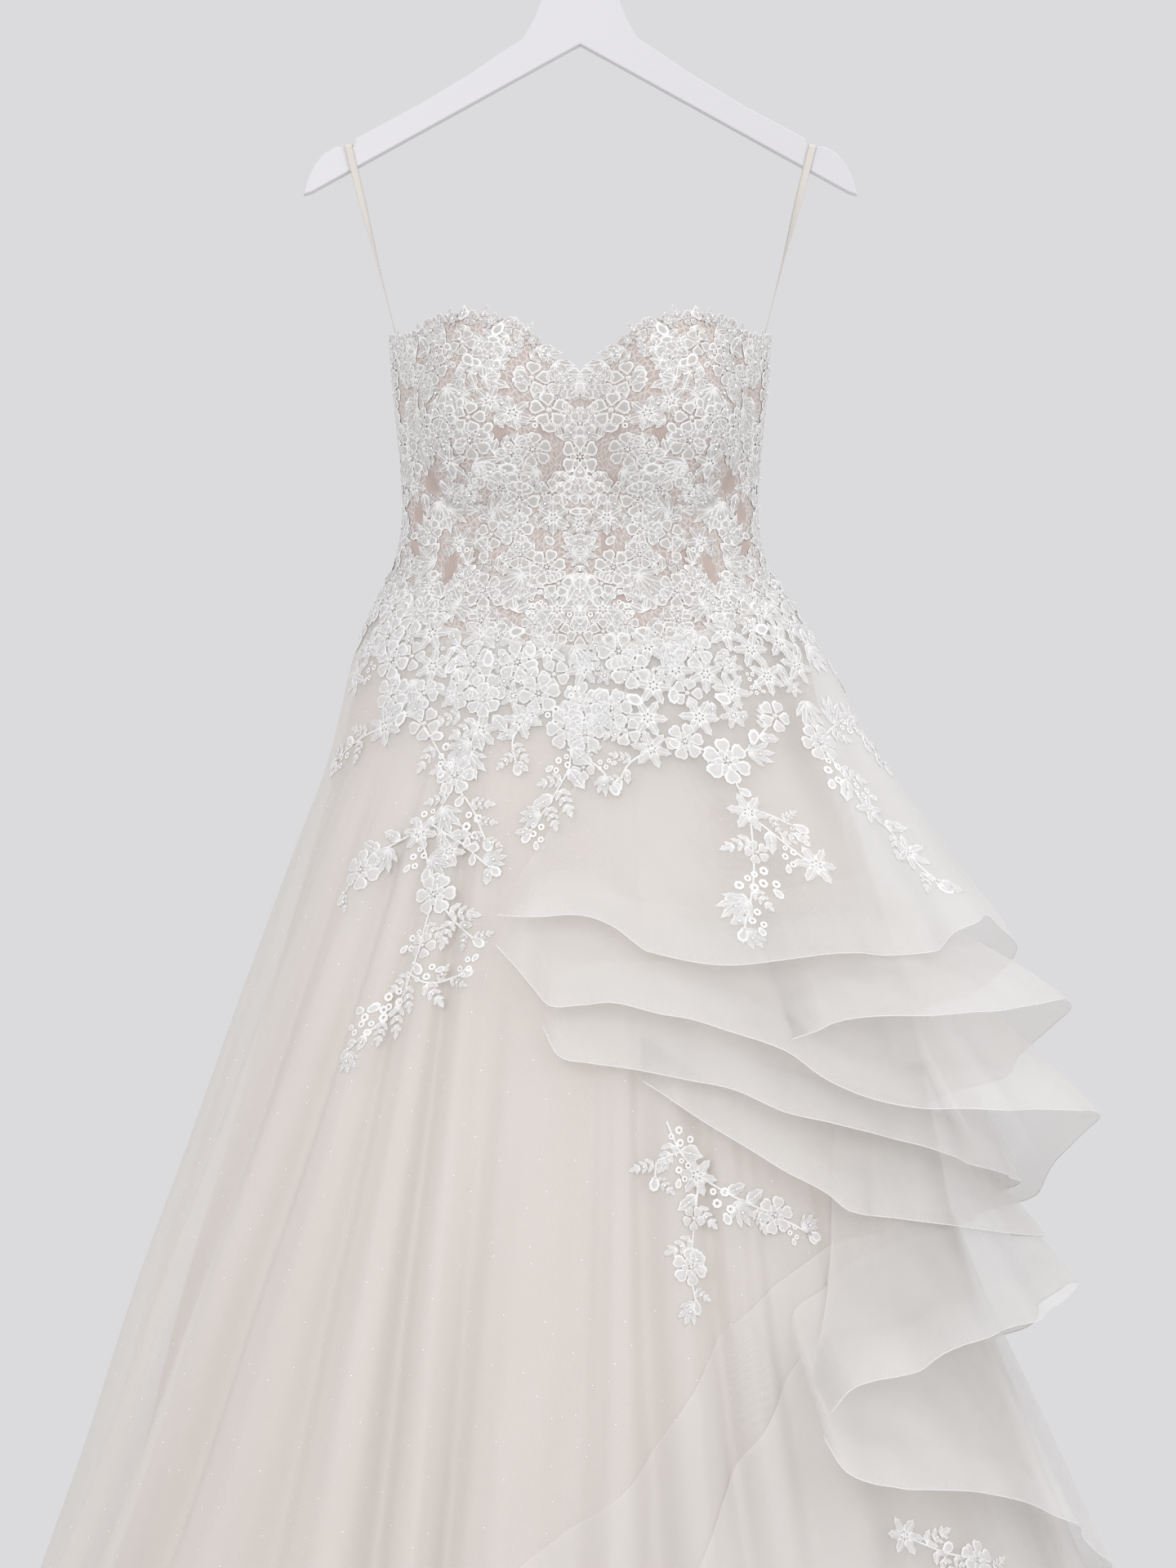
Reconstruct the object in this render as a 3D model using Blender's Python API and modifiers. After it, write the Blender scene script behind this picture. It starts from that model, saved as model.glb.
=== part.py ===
"""Strapless wedding dress with a lace bodice, a tulle skirt and side flounces, on a wooden hanger.

Metres, +Z up.  The origin is the inner top of the hanger's hook, the dress faces -Y, and +X is on the
right of its front.  The tables are in millimetres and degrees.  `turn` goes round the body from the
centre front (0) over +X (90) to the centre back (180), and `drop` is the distance below the origin.
Every piece of cloth stands off one body form by a number of millimetres, which grows outwards.
"""

import math
from collections import namedtuple
from functools import lru_cache

import bmesh
import bpy
from mathutils import Vector, geometry
from mathutils.bvhtree import BVHTree

MM = 0.001

# ---------------------------------------------------------------------------------------------
# Sizes
# ---------------------------------------------------------------------------------------------

# The body form that the dress keeps: half widths to each side, and depths in front and behind
Form = namedtuple("Form", "drop left right front back")
FORM = [
    Form(345, 153, 153, 80, 76),
    Form(400, 149, 149, 80, 75),
    Form(450, 144, 144, 77, 72),
    Form(488, 141.5, 141.5, 75, 70),
    Form(520, 143, 143, 77, 71),
    Form(550, 151, 151, 84, 77),
    Form(580, 165, 165, 97, 92),
    Form(612, 178, 178, 110, 108),
    Form(694, 198, 198, 132, 140),
    Form(762, 222, 222, 155, 172),
    Form(896, 268, 260, 196, 232),
    Form(1004, 304, 282, 228, 278),
    Form(1108, 340, 303, 256, 318),
    Form(1239, 379, 343, 287, 362),
    Form(1333, 410, 374, 310, 392),
    Form(1683, 520, 500, 385, 480),
]
SECTION_POWER = 0.9  # below 1 the section is a little squarer than an ellipse

# Edges and seams of the bodice, the same on both sides
Edge = namedtuple("Edge", "turn drop")
NECKLINE = [
    Edge(0, 418), Edge(1.5, 406), Edge(5, 389), Edge(11, 369), Edge(20, 355), Edge(33, 350), Edge(45, 351),
    Edge(52, 358), Edge(60, 363), Edge(90, 363), Edge(120, 372), Edge(150, 388), Edge(180, 395),
]
CUP_SEAM = [
    Edge(0, 455), Edge(8, 472), Edge(17, 500), Edge(27, 509), Edge(38, 503), Edge(50, 482), Edge(58, 462),
]
WAIST = [
    Edge(0, 612), Edge(19, 606), Edge(40, 592), Edge(62, 572), Edge(90, 548), Edge(120, 551), Edge(180, 560),
]
PRINCESS_TURN = 16.0
SIDE_FRONT_TURN = 58.0
SIDE_BACK_TURN = 112.0

# Each cup is a soft bump on the form
CUP_ACROSS = 68.0
CUP_DROP = 437.0
CUP_HALF_WIDTH = 62.0
CUP_ABOVE = 110.0
CUP_BELOW = 72.0
CUP_LIFT = 38.0
CUP_ROUNDNESS = 1.25

# Walls and the spaces between them
BODICE_WALL = 1.6
SKIRT_WALL = 1.2
LINING_WALL = 1.2
BAND_WALL = 1.2
LACE_WALL = 1.2
SEAM_GAP = 0.5
SKIRT_SEAM_GAP = 1.0
WAIST_GAP = 1.2
SEAT_GAP = 1.8      # from the outer face of one layer to that of the next, where they are sewn together
LAYER_GAP = 5.0     # the same where they hang free

# Skirt
HEM_DROP = 1683.0
FOLD_TOP_DROP = 650.0
SKIRT_OUT = 1.9
LINING_OUT = -0.2
LINING_TOP = 548.0      # the highest place of the waist seam
LINING_SUNK = 5.0
LINING_DRAW_IN = 30.0
SKIRT_DROPS = (640.0, 780.0, 980.0, 1290.0, HEM_DROP)
FOLD_FLANK = 0.66   # height of a fold halfway between its hollow and its ridge, as a share
FOLD_GROWTH = 0.8

# Folds of the tulle, from the centre back round the wearer's right side: where each ridge and the hollow
# after it lie at the top and at the hem, how far they rise and sink at the hem, and where they begin
Fold = namedtuple("Fold", "ridge_top ridge_hem hollow_top hollow_hem rise sink start")
FOLDS = [
    Fold(-168, -170, -158, -161, 24, 18, 660),
    Fold(-145, -150, -134, -140, 26, 20, 660),
    Fold(-121, -128, -110, -118, 24, 18, 660),
    Fold(-98, -108, -88, -98, 20, 18, 700),
    Fold(-76, -90, -64, -82, 22, 20, 700),
    Fold(-56, -77, -48, -72, 24, 18, 700),
    Fold(-40, -67, -32, -62, 26, 24, 700),
    Fold(-30, -48, -28, -36, 22, 16, 700),
    Fold(-24.5, -26, -21, -20, 24, 26, 700),
    Fold(-17, -14.5, -12, -13, 22, 28, 700),
    Fold(-5, -9, 3, -3, 26, 16, 860),
    Fold(6, 1, 8, 7, 20, 16, 860),
    Fold(12, 12.5, 16, 19, 24, 24, 860),
    Fold(21, 21, 26, 26, 20, 16, 860),
    Fold(32, 32, 38, 38, 14, 14, 1000),
    Fold(46, 46, 54, 54, 14, 12, 1100),
    Fold(63, 63, 72, 72, 14, 14, 1100),
    Fold(81, 81, 90, 90, 14, 12, 1100),
    Fold(102, 102, 115, 115, 16, 14, 1100),
    Fold(130, 130, 144, 144, 16, 12, 1100),
    Fold(160, 160, 180, 180, 14, 12, 1100),
]
SKIRT_SEAMS = {"left": 3, "front": 10, "right": 17}  # folds whose hollow holds a seam

# Flounces, listed from the outermost: where each column's upper edge and hem lie, and how far the hem
# stands off the form.  An upper edge of 0 is the waist seam.
Column = namedtuple("Column", "turn root hem out")
BackRun = namedtuple("BackRun", "root hem out wave")
Flounce = namedtuple("Flounce", "front back")
BACK_END_TURN = 178.4
BACK_STEPS = 7
MIDDLE_ROW = 0.5     # row between a flounce's seam and its band, as a share of that height
CLEARING_ROUNDS = 3
FLOUNCE_EASE = 1.3
BAND_WIDTH = 33.0
BAND_CLEARANCE = 0.4
FLOUNCES = [
    Flounce([
        Column(-12.2, 804, 814, 20), Column(-9, 783, 815, 24), Column(-5, 754, 815, 26),
        Column(0, 712, 814, 23), Column(4.3, 680, 822, 20), Column(8.5, 648, 838, 22),
        Column(9.6, 0, 841, 23), Column(17, 0, 849, 27), Column(23, 0, 851, 34), Column(29, 0, 848, 44),
        Column(36, 0, 845, 40), Column(44, 0, 843, 50), Column(52, 0, 846, 46), Column(61, 0, 844, 62),
        Column(69, 0, 836, 60), Column(77, 0, 824, 76), Column(84, 0, 820, 84), Column(91, 0, 836, 98),
        Column(97, 0, 856, 104), Column(106, 0, 886, 82),
    ], BackRun(0, 996, 34, 14)),
    Flounce([
        Column(30, 800, 905, 12), Column(33.9, 800, 901, 40), Column(37, 798, 894, 52),
        Column(40.4, 796, 890, 62), Column(46, 794, 889, 68), Column(52.6, 792, 890, 80),
        Column(60, 790, 889, 84), Column(66.7, 788, 889, 97), Column(75, 786, 886, 112),
        Column(82, 786, 885, 126), Column(88, 788, 890, 132), Column(95, 790, 910, 122),
        Column(101, 794, 936, 100), Column(108, 800, 960, 92),
    ], BackRun(840, 1076, 38, 15)),
    Flounce([
        Column(-12.4, 824, 836, 9), Column(-9, 808, 852, 12), Column(-6.1, 803, 867, 16),
        Column(-3.5, 800, 880, 26), Column(0, 798, 880, 22), Column(4, 800, 878, 26),
        Column(10.4, 806, 886, 30), Column(15, 808, 890, 28), Column(20, 808, 898, 36),
        Column(28.5, 805, 913, 40), Column(35.2, 804, 936, 46), Column(41.9, 803, 951, 56),
        Column(48.5, 803, 958, 70), Column(56, 803, 960, 76), Column(64.3, 803, 964, 92),
        Column(71, 803, 966, 98), Column(78, 803, 970, 120), Column(85, 805, 975, 134),
        Column(91, 810, 990, 130), Column(97, 816, 1020, 108), Column(104, 826, 1056, 92),
    ], BackRun(872, 1204, 40, 14)),
    Flounce([
        Column(-4.5, 868, 896, 8), Column(-2.4, 856, 917, 13), Column(0.8, 852, 922, 19),
        Column(4, 850, 925, 17), Column(8, 850, 928, 21), Column(14.5, 850, 935, 21),
        Column(21, 850, 942, 28), Column(28, 850, 958, 31), Column(35.4, 850, 967, 36),
        Column(44, 850, 978, 38), Column(52.8, 850, 989, 44), Column(64, 850, 1006, 48),
        Column(76, 850, 1020, 56), Column(88, 852, 1034, 60), Column(100, 856, 1052, 50),
    ], None),
    Flounce([
        Column(8, 905, 936, 9), Column(10.1, 900, 943, 12), Column(15.5, 893, 962, 15),
        Column(21.2, 890, 980, 18), Column(27.7, 890, 1001, 24), Column(34.4, 890, 1019, 28),
        Column(37.4, 890, 1032, 30), Column(46, 890, 1040, 24), Column(58, 890, 1050, 24),
        Column(72, 890, 1062, 24), Column(86, 890, 1074, 22), Column(98, 892, 1084, 18),
    ], None),
    Flounce([
        Column(28.2, 1150, 1172, 44), Column(30.5, 1126, 1155, 56), Column(33.5, 1098, 1148, 62),
        Column(36.8, 1060, 1145, 66), Column(40.3, 990, 1143, 66), Column(45, 946, 1136, 60),
        Column(50, 938, 1130, 62), Column(56, 935, 1126, 66), Column(63, 935, 1126, 60),
        Column(71, 935, 1126, 66), Column(78, 935, 1119, 76), Column(85, 935, 1111, 90),
        Column(92, 938, 1118, 88), Column(99, 942, 1140, 68), Column(107, 948, 1166, 74),
    ], BackRun(990, 1330, 36, 16)),
    Flounce([
        Column(27.6, 1120, 1188, 34), Column(28.7, 1104, 1211, 50), Column(33.6, 1090, 1222, 64),
        Column(38, 1078, 1226, 66), Column(43, 1070, 1230, 68), Column(49, 1064, 1239, 58),
        Column(55, 1060, 1250, 58), Column(62, 1060, 1266, 48), Column(68.3, 1060, 1282, 50),
        Column(76, 1060, 1306, 40), Column(84, 1060, 1332, 46), Column(92, 1062, 1356, 40),
        Column(101, 1066, 1380, 50),
    ], BackRun(1114, 1492, 38, 12)),
    Flounce([
        Column(8.5, 1318, 1356, 18), Column(12.7, 1261, 1390, 24), Column(17.1, 1215, 1408, 28),
        Column(22, 1180, 1422, 34), Column(26.8, 1148, 1434, 30), Column(33.5, 1114, 1448, 36),
        Column(37.5, 1098, 1456, 34), Column(41, 1086, 1464, 42), Column(48, 1078, 1476, 34),
        Column(56, 1074, 1488, 44), Column(65, 1074, 1500, 34), Column(75, 1074, 1512, 44),
        Column(86, 1074, 1524, 34), Column(97, 1076, 1534, 46),
    ], BackRun(1124, 1578, 36, 8)),
    Flounce([
        Column(-8.5, 1308, 1345, 12), Column(-4.9, 1278, 1376, 16), Column(-1, 1256, 1394, 16),
        Column(6.2, 1212, 1424, 18), Column(12, 1162, 1444, 20), Column(19, 1113, 1466, 20),
        Column(26.5, 1086, 1486, 22), Column(36.7, 1060, 1508, 20), Column(48, 1055, 1526, 22),
        Column(60, 1055, 1542, 20), Column(73, 1055, 1556, 22), Column(86, 1055, 1568, 20),
        Column(97, 1055, 1577, 22),
    ], BackRun(1060, 1616, 22, 3)),
]

# Lace
GIRDLE_DEPTH = 34.0
GIRDLE_SCALLOP = 12.0
LACE_SCALE = 3.4        # millimetres for a degree in the flat plan of a piece of lace
BODICE_LACE_LIFT = 2.7
GIRDLE_LIFT = 2.45
SPRAY_LIFT = 2.2
LACE_SHORTEST = 0.3       # shorter sides are closed up
PETALS = 5
SEAM_SEARCH = 0.4       # degrees to either side, so that no ray slips through a seam
CAST_FROM = 300.0
CAST_REACH = 330.0
STEM_WIDTH = 3.2
STEM_REACH = 0.26         # where a stem ends inside a flower, as a share of the flower's size
Motif = namedtuple("Motif", "kind turn drop size spin joins")  # joins is the row it grows from
SPRAYS = {
    "spray_left": (("skirt_front_left",), [
        Motif("flower", -49.4, 676, 34, 0, None), Motif("leaf", -53.5, 684, 34, 165, 0),
        Motif("flower", -36, 676, 30, 20, 0), Motif("flower", -25.3, 710, 34, 10, 2),
        Motif("flower", -31, 752, 28, 30, 3), Motif("flower", -43, 777, 36, 0, 4),
        Motif("flower", -25, 798, 38, 15, 4), Motif("bud", -17.8, 828, 10, 0, 6),
        Motif("leaf", -24, 812, 38, 100, 6), Motif("leaf", -26.5, 848, 34, 130, 8),
    ]),
    "spray_centre": (("skirt_front_left", "skirt_front_right"), [
        Motif("flower", -3.5, 672, 32, 0, None), Motif("leaf", -6.0, 690, 28, 110, 0),
        Motif("bud", -10, 734, 10, 0, 1),
    ]),
    "spray_right": (("flounce_1",), [
        Motif("flower", 13.5, 692, 30, 0, None), Motif("flower", 21, 686, 32, 30, 0),
        Motif("flower", 30, 700, 40, 10, 1), Motif("flower", 31.6, 742, 32, 40, 2),
        Motif("leaf", 33.8, 756, 32, 50, 3), Motif("flower", 43.5, 784, 32, 0, 4),
        Motif("bud", 29, 786, 10, 0, 3),
    ]),
    "spray_side": (("flounce_1",), [
        Motif("flower", 59.2, 684, 30, 0, None), Motif("leaf", 60, 698, 30, 75, 0),
        Motif("flower", 65, 738, 28, 20, 1), Motif("flower", 71, 772, 30, 0, 2),
    ]),
    "spray_low": (("skirt_front_right",), [
        Motif("leaf", 11.3, 970, 28, 80, None), Motif("flower", 15.5, 1006, 32, 0, 0),
        Motif("leaf", 19.5, 1014, 30, 30, 1), Motif("flower", 27.5, 1036, 30, 20, 2),
        Motif("leaf", 14.5, 1024, 30, 100, 1), Motif("flower", 13.6, 1072, 32, 10, 4),
    ]),
    "spray_hem": (("flounce_8",), [
        Motif("flower", 38, 1266, 28, 0, None), Motif("leaf", 41, 1272, 26, 30, 0),
        Motif("flower", 48.5, 1290, 28, 20, 1),
    ]),
}

# Centre back zip
ZIP_TOP = 397.0
ZIP_END = 700.0
ZIP_WIDTH = 3.2
ZIP_SLOT = 4.0
SLIDER_DROP = 408.0
SLIDER_SIZE = (5.0, 2.2, 8.0)
PIVOT_STAND = 1.1       # from the slider's face to the pull tab's pivot
BRIDGE_RADIUS = 2.0
BRIDGE_THICK = 1.1
PULL_WINDOW = (1.5, 0.6, 5.2)   # half width, top and bottom of the window below the pivot
PULL_LENGTH = 26.0
PULL_WIDTH = 7.0
PULL_THICK = 1.0

# Hanger
WOOD_HALF_THICK = 6.0
WOOD_ROUND = 1.0
WOOD_PEAK = 125.1
WOOD_OUTLINE = [  # right half, from the crown to the tip: across and drop
    (0, 83), (15, 84), (25, 87), (30.5, 92), (36.5, 107), (45, 122), (61.7, 132.9), (84.5, 148.6),
    (127.6, 174.7), (178.5, 202), (180, 208.5), (195, 209), (204, 214), (211.5, 223), (217, 234.5),
    (219.5, 244.8), (215, 243.5),
]
HOOK_WIRE = 2.25
HOOK_INNER = 19.0
HOOK_END = 81.7
LOOP_WIDTH = 6.5
LOOP_WALL = 0.8
LOOP_SEWN_DROP = 384.0
LOOP_FREE_DROP = 360.0
LOOP_SEWN_ACROSS = 146.8
NOTCH_ACROSS = 185.0
NOTCH_DROP = 208.5

# Colours
IVORY = (0.83, 0.80, 0.77, 1.0)
BLUSH = (0.80, 0.70, 0.63, 1.0)
NET = (0.78, 0.70, 0.65, 1.0)
LACE_WHITE = (0.88, 0.86, 0.84, 1.0)
WOOD_WHITE = (0.86, 0.86, 0.87, 1.0)
STEEL = (0.75, 0.75, 0.76, 1.0)


# ---------------------------------------------------------------------------------------------
# The body form
# ---------------------------------------------------------------------------------------------

def smooth_value(rows, at, name):
    """One column of a table at a value of its first column, on a smooth curve through the rows."""
    keys = [row[0] for row in rows]
    values = [getattr(row, name) for row in rows]
    if at <= keys[0]:
        return values[0]
    if at >= keys[-1]:
        return values[-1]
    last = len(keys) - 1
    index = next(i for i in range(last) if keys[i + 1] >= at)

    def slope(i):
        before, after = max(i - 1, 0), min(i + 1, last)
        return (values[after] - values[before]) / (keys[after] - keys[before])

    span = keys[index + 1] - keys[index]
    t = (at - keys[index]) / span
    start, end = values[index], values[index + 1]
    return ((2 * t**3 - 3 * t**2 + 1) * start + (3 * t**2 - 2 * t**3) * end
            + ((t**3 - 2 * t**2 + t) * slope(index) + (t**3 - t**2) * slope(index + 1)) * span)


def straight_value(rows, at, name):
    """One column of a table at a value of its first column, on straight lines between the rows."""
    if at <= rows[0][0]:
        return getattr(rows[0], name)
    for first, second in zip(rows, rows[1:]):
        if at <= second[0]:
            share = (at - first[0]) / (second[0] - first[0])
            return getattr(first, name) * (1 - share) + getattr(second, name) * share
    return getattr(rows[-1], name)


@lru_cache(maxsize=None)
def form_size(drop, name):
    return smooth_value(FORM, drop, name)


def form_point(turn, drop, out=0.0):
    """Point that stands off the body form by `out`, as a vector in metres."""
    side = math.sin(math.radians(turn))
    ahead = math.cos(math.radians(turn))
    half = form_size(drop, "right" if side > 0 else "left")
    depth = form_size(drop, "front" if ahead > 0 else "back")
    across = math.copysign(abs(side) ** SECTION_POWER, side)
    forward = math.copysign(abs(ahead) ** SECTION_POWER, ahead)
    grade = 2 / SECTION_POWER - 1
    normal = Vector((math.copysign(abs(across) ** grade, across) / half,
                     -math.copysign(abs(forward) ** grade, forward) / depth, 0)).normalized()
    return (Vector((half * across, -depth * forward, -drop)) + normal * out) * MM


def standing_off(point, turn, drop):
    """How far a point near a place on the form stands off it."""
    base = form_point(turn, drop)
    return (point - base).dot((form_point(turn, drop, 1.0) - base).normalized()) / MM


def chord_lift(turn, upper, lower, drop):
    """Stand-off of a straight line down the form from one drop to another, partway."""
    share = (drop - upper) / (lower - upper)
    middle = form_point(turn, upper) * (1 - share) + form_point(turn, lower) * share
    return standing_off(middle, turn, drop)


def turn_beside(turn, drop, distance):
    """The turn that lies a distance in millimetres beside another, towards +X for a positive one."""
    start = form_point(turn, drop)
    low, high = 0.0, 12.0
    for _ in range(30):
        middle = (low + high) / 2
        reach = (form_point(turn + math.copysign(middle, distance), drop) - start).length
        if reach < abs(distance) * MM:
            low = middle
        else:
            high = middle
    return turn + math.copysign(low, distance)


def edge_drop(edge, turn):
    """Drop of the neckline, cup seam or waist at a turn on either side."""
    return smooth_value(edge, abs((turn + 180) % 360 - 180), "drop")


def bodice_out(turn, drop):
    """How far the bodice's outer face stands off the form: nothing but the two cups."""
    if abs(turn) > 90:
        return 0.0
    across = abs(form_point(turn, drop).x) / MM - CUP_ACROSS
    below = drop - CUP_DROP
    reach = CUP_BELOW if below > 0 else CUP_ABOVE
    spread = (across / CUP_HALF_WIDTH) ** 2 + (below / reach) ** 2
    return CUP_LIFT * max(0.0, 1 - spread) ** CUP_ROUNDNESS


# ---------------------------------------------------------------------------------------------
# Folds and layers of the skirt
# ---------------------------------------------------------------------------------------------

FoldLine = namedtuple("FoldLine", "top hem height start")


def fold_lines():
    """Lines down the skirt: the hollow, the flank, the ridge and the other flank of each fold."""
    lines = []
    before = FOLDS[-1]._replace(hollow_top=-180, hollow_hem=-180)
    for fold in FOLDS:
        hollow = FoldLine(before.hollow_top, before.hollow_hem, -before.sink, max(before.start, fold.start))
        ridge = FoldLine(fold.ridge_top, fold.ridge_hem, fold.rise, fold.start)
        following = FoldLine(fold.hollow_top, fold.hollow_hem, -fold.sink, fold.start)
        lines += [hollow, flank_line(hollow, ridge), ridge, flank_line(ridge, following)]
        before = fold
    lines.append(FoldLine(180, 180, -before.sink, before.start))
    return lines


def flank_line(first, second):
    """The line halfway between a hollow and a ridge, nearer the ridge's height."""
    low, high = sorted((first.height, second.height))
    return FoldLine((first.top + second.top) / 2, (first.hem + second.hem) / 2,
                    low + FOLD_FLANK * (high - low), max(first.start, second.start))


FOLD_LINES = fold_lines()
RIDGE_LINES = FOLD_LINES[2::4]


def line_turn(line, drop):
    share = max(0.0, (drop - FOLD_TOP_DROP) / (HEM_DROP - FOLD_TOP_DROP))
    return line.top + (line.hem - line.top) * share


def line_out(line, drop):
    growth = max(0.0, (drop - line.start) / (HEM_DROP - line.start)) ** FOLD_GROWTH
    return SKIRT_OUT + line.height * growth


def ridge_out(turn, drop):
    """Stand-off of cloth stretched over the skirt's ridges, on straight lines between its rows."""
    if drop <= SKIRT_DROPS[0]:
        return SKIRT_OUT
    row = next((i for i, end in enumerate(SKIRT_DROPS[1:]) if drop <= end), len(SKIRT_DROPS) - 2)
    upper, lower = SKIRT_DROPS[row], SKIRT_DROPS[row + 1]
    share = min(1.0, (drop - upper) / (lower - upper))
    lift = chord_lift(turn, upper, lower, drop)
    turns = [line_turn(line, drop) for line in RIDGE_LINES]
    outs = [line_out(line, upper) * (1 - share) + line_out(line, lower) * share + lift
            for line in RIDGE_LINES]
    if turn <= turns[0]:
        return outs[0]
    for i in range(len(turns) - 1):
        if turn <= turns[i + 1]:
            along = (turn - turns[i]) / (turns[i + 1] - turns[i])
            return outs[i] * (1 - along) + outs[i + 1] * along
    return outs[-1]


def flounce_columns(flounce):
    """All columns of a flounce: those of the front, and waves that fade towards the centre back."""
    columns = [column._replace(root=column.root or edge_drop(WAIST, column.turn) + WAIST_GAP)
               for column in flounce.front]
    if flounce.back is None:
        return columns
    last, run = columns[-1], flounce.back
    for step in range(1, BACK_STEPS + 1):
        share = step / BACK_STEPS
        turn = last.turn + (BACK_END_TURN - last.turn) * share
        wave = run.wave * (1 - share) * (1 if step % 2 == 0 else -1)
        root = last.root + (run.root - last.root) * share if run.root else edge_drop(WAIST, turn) + WAIST_GAP
        columns.append(Column(turn, root, last.hem + (run.hem - last.hem) * share,
                              last.out + (run.out - last.out) * share + wave))
    return columns


FLOUNCE_COLUMNS = [flounce_columns(flounce) for flounce in FLOUNCES]


def level_drops(column):
    """Drops of the rows of a flounce's wall in one column: the last two hold its band."""
    height = column.hem - column.root
    to_band = max(MIDDLE_ROW, 1 - BAND_WIDTH / height)
    return [column.root + height * share for share in (0.0, MIDDLE_ROW * to_band, to_band, 1.0)]


def free_out(columns, turn, drop, under):
    """Stand-off of a flounce that hangs from its seam on the layer under it out to its own hem."""
    root = straight_value(columns, turn, "root")
    hem = straight_value(columns, turn, "hem")
    share = min(1.0, max(0.0, (drop - root) / (hem - root)))
    ease = share ** FLOUNCE_EASE
    gap = SEAT_GAP + (LAYER_GAP - SEAT_GAP) * min(1.0, 3 * share)
    return (under + SEAT_GAP) * (1 - ease) + straight_value(columns, turn, "out") * ease, gap


def wall_out(level, turn, drop):
    """Stand-off of a finished flounce's wall at a place, or None beside it."""
    columns, outs = FLOUNCE_COLUMNS[level], FLOUNCE_OUTS[level]
    if not columns[0].turn <= turn <= columns[-1].turn:
        return None
    i = next(i for i in range(len(columns) - 1) if turn <= columns[i + 1].turn)
    along = (turn - columns[i].turn) / (columns[i + 1].turn - columns[i].turn)

    def blend(first, second):
        return [a * (1 - along) + b * along for a, b in zip(first, second)]

    drops = blend(level_drops(columns[i]), level_drops(columns[i + 1]))
    if not drops[0] <= drop <= drops[-1]:
        return None
    row = next(r for r in range(len(drops) - 1) if drop <= drops[r + 1])
    down = (drop - drops[row]) / (drops[row + 1] - drops[row])
    return chord_lift(turn, drops[row], drops[row + 1], drop) + sum(
        outs[i + side][row + below] * weight for side, below, weight in triangle_weights(along, down))


def triangle_weights(along, down):
    """Shares of a cell's corners (side, below, share) at a place in it: it is cut corner to corner."""
    if down > along:
        return (0, 0, 1 - down), (0, 1, down - along), (1, 1, along)
    return (0, 0, 1 - along), (1, 0, along - down), (1, 1, down)


def layer_out(level, turn, drop):
    """Stand-off of the outermost of flounce `level` and all beneath it, down to the skirt."""
    outs = [wall_out(i, turn, drop) for i in range(level, len(FLOUNCE_COLUMNS))]
    return max([out for out in outs if out is not None] + [ridge_out(turn, drop)])


def lift_clear(level, outs):
    """Raise a flounce's points until its wall clears all beneath it between them too."""
    columns = FLOUNCE_COLUMNS[level]
    shares = spread(0.0, 1.0, 7)
    for i, (first, second) in enumerate(zip(columns, columns[1:])):
        for row in range(3):
            for along in shares:
                for down in shares:
                    turn = first.turn + (second.turn - first.turn) * along
                    corners = []
                    for side, below, weight in triangle_weights(along, down):
                        column, index, r = columns[i + side], i + side, row + below
                        drop = level_drops(column)[r]
                        point = form_point(column.turn, drop, outs[index][r])
                        corners.append((index, r, weight, drop, point))
                    drop = sum(corner[3] * corner[2] for corner in corners)
                    centre = sum((corner[4] * corner[2] for corner in corners), Vector())
                    under = layer_out(level + 1, turn, drop)
                    gap = free_out(columns, turn, drop, under)[1]
                    short = under + gap - standing_off(centre, turn, drop)
                    if short > 0:
                        for index, r, weight, _, _ in corners:
                            outs[index][r] += short * min(1.0, 2 * weight)


def settle_flounces():
    """Stand-offs of the points of every flounce, worked out from the innermost one outwards."""
    for level in reversed(range(len(FLOUNCE_COLUMNS))):
        columns = FLOUNCE_COLUMNS[level]
        outs = []
        for column in columns:
            row = []
            for drop in level_drops(column):
                under = layer_out(level + 1, column.turn, drop)
                free, gap = free_out(columns, column.turn, drop, under)
                row.append(max(free, under + gap))
            outs.append(row)
        for _ in range(CLEARING_ROUNDS):
            lift_clear(level, outs)
        FLOUNCE_OUTS[level] = outs


FLOUNCE_OUTS = {}


# ---------------------------------------------------------------------------------------------
# Making objects
# ---------------------------------------------------------------------------------------------

def clear_scene():
    for old in list(bpy.data.objects):
        bpy.data.objects.remove(old, do_unlink=True)


def make_material(name, color, roughness, metallic=0.0):
    material = bpy.data.materials.new(name)
    material.use_nodes = True
    shader = material.node_tree.nodes["Principled BSDF"]
    shader.inputs["Base Color"].default_value = color
    shader.inputs["Roughness"].default_value = roughness
    shader.inputs["Metallic"].default_value = metallic
    return material


def collect(item, collection="wedding_dress"):
    """Put an object into one of the part's own collections and take it out of any other."""
    target = bpy.data.collections.get(collection)
    if target is None:
        target = bpy.data.collections.new(collection)
        bpy.context.scene.collection.children.link(target)
    for holder in list(item.users_collection):
        holder.objects.unlink(item)
    target.objects.link(item)


def add_object(name, data, material):
    item = bpy.data.objects.new(name, data)
    item.data.materials.append(material)
    collect(item)
    return item


def add_wall(item, thickness, offset=-1.0):
    """Give an open surface its thickness, inwards unless told otherwise."""
    solid = item.modifiers.new("wall", "SOLIDIFY")
    solid.thickness = thickness * MM
    solid.offset = offset
    return item


def cloth(name, grid, thickness, material):
    """Wall of cloth through a grid of outer points: rows run down, and columns run towards +X in front."""
    points = [point for row in grid for point in row]
    width = len(grid[0])
    faces = []
    for start in (r * width + c for r in range(len(grid) - 1) for c in range(width - 1)):
        below = start + width
        faces += [(start, below, below + 1), (start, below + 1, start + 1)]
    mesh = bpy.data.meshes.new(name)
    mesh.from_pydata(points, [], faces)
    mesh.shade_smooth()
    return add_wall(add_object(name, mesh, material), thickness)


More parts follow.
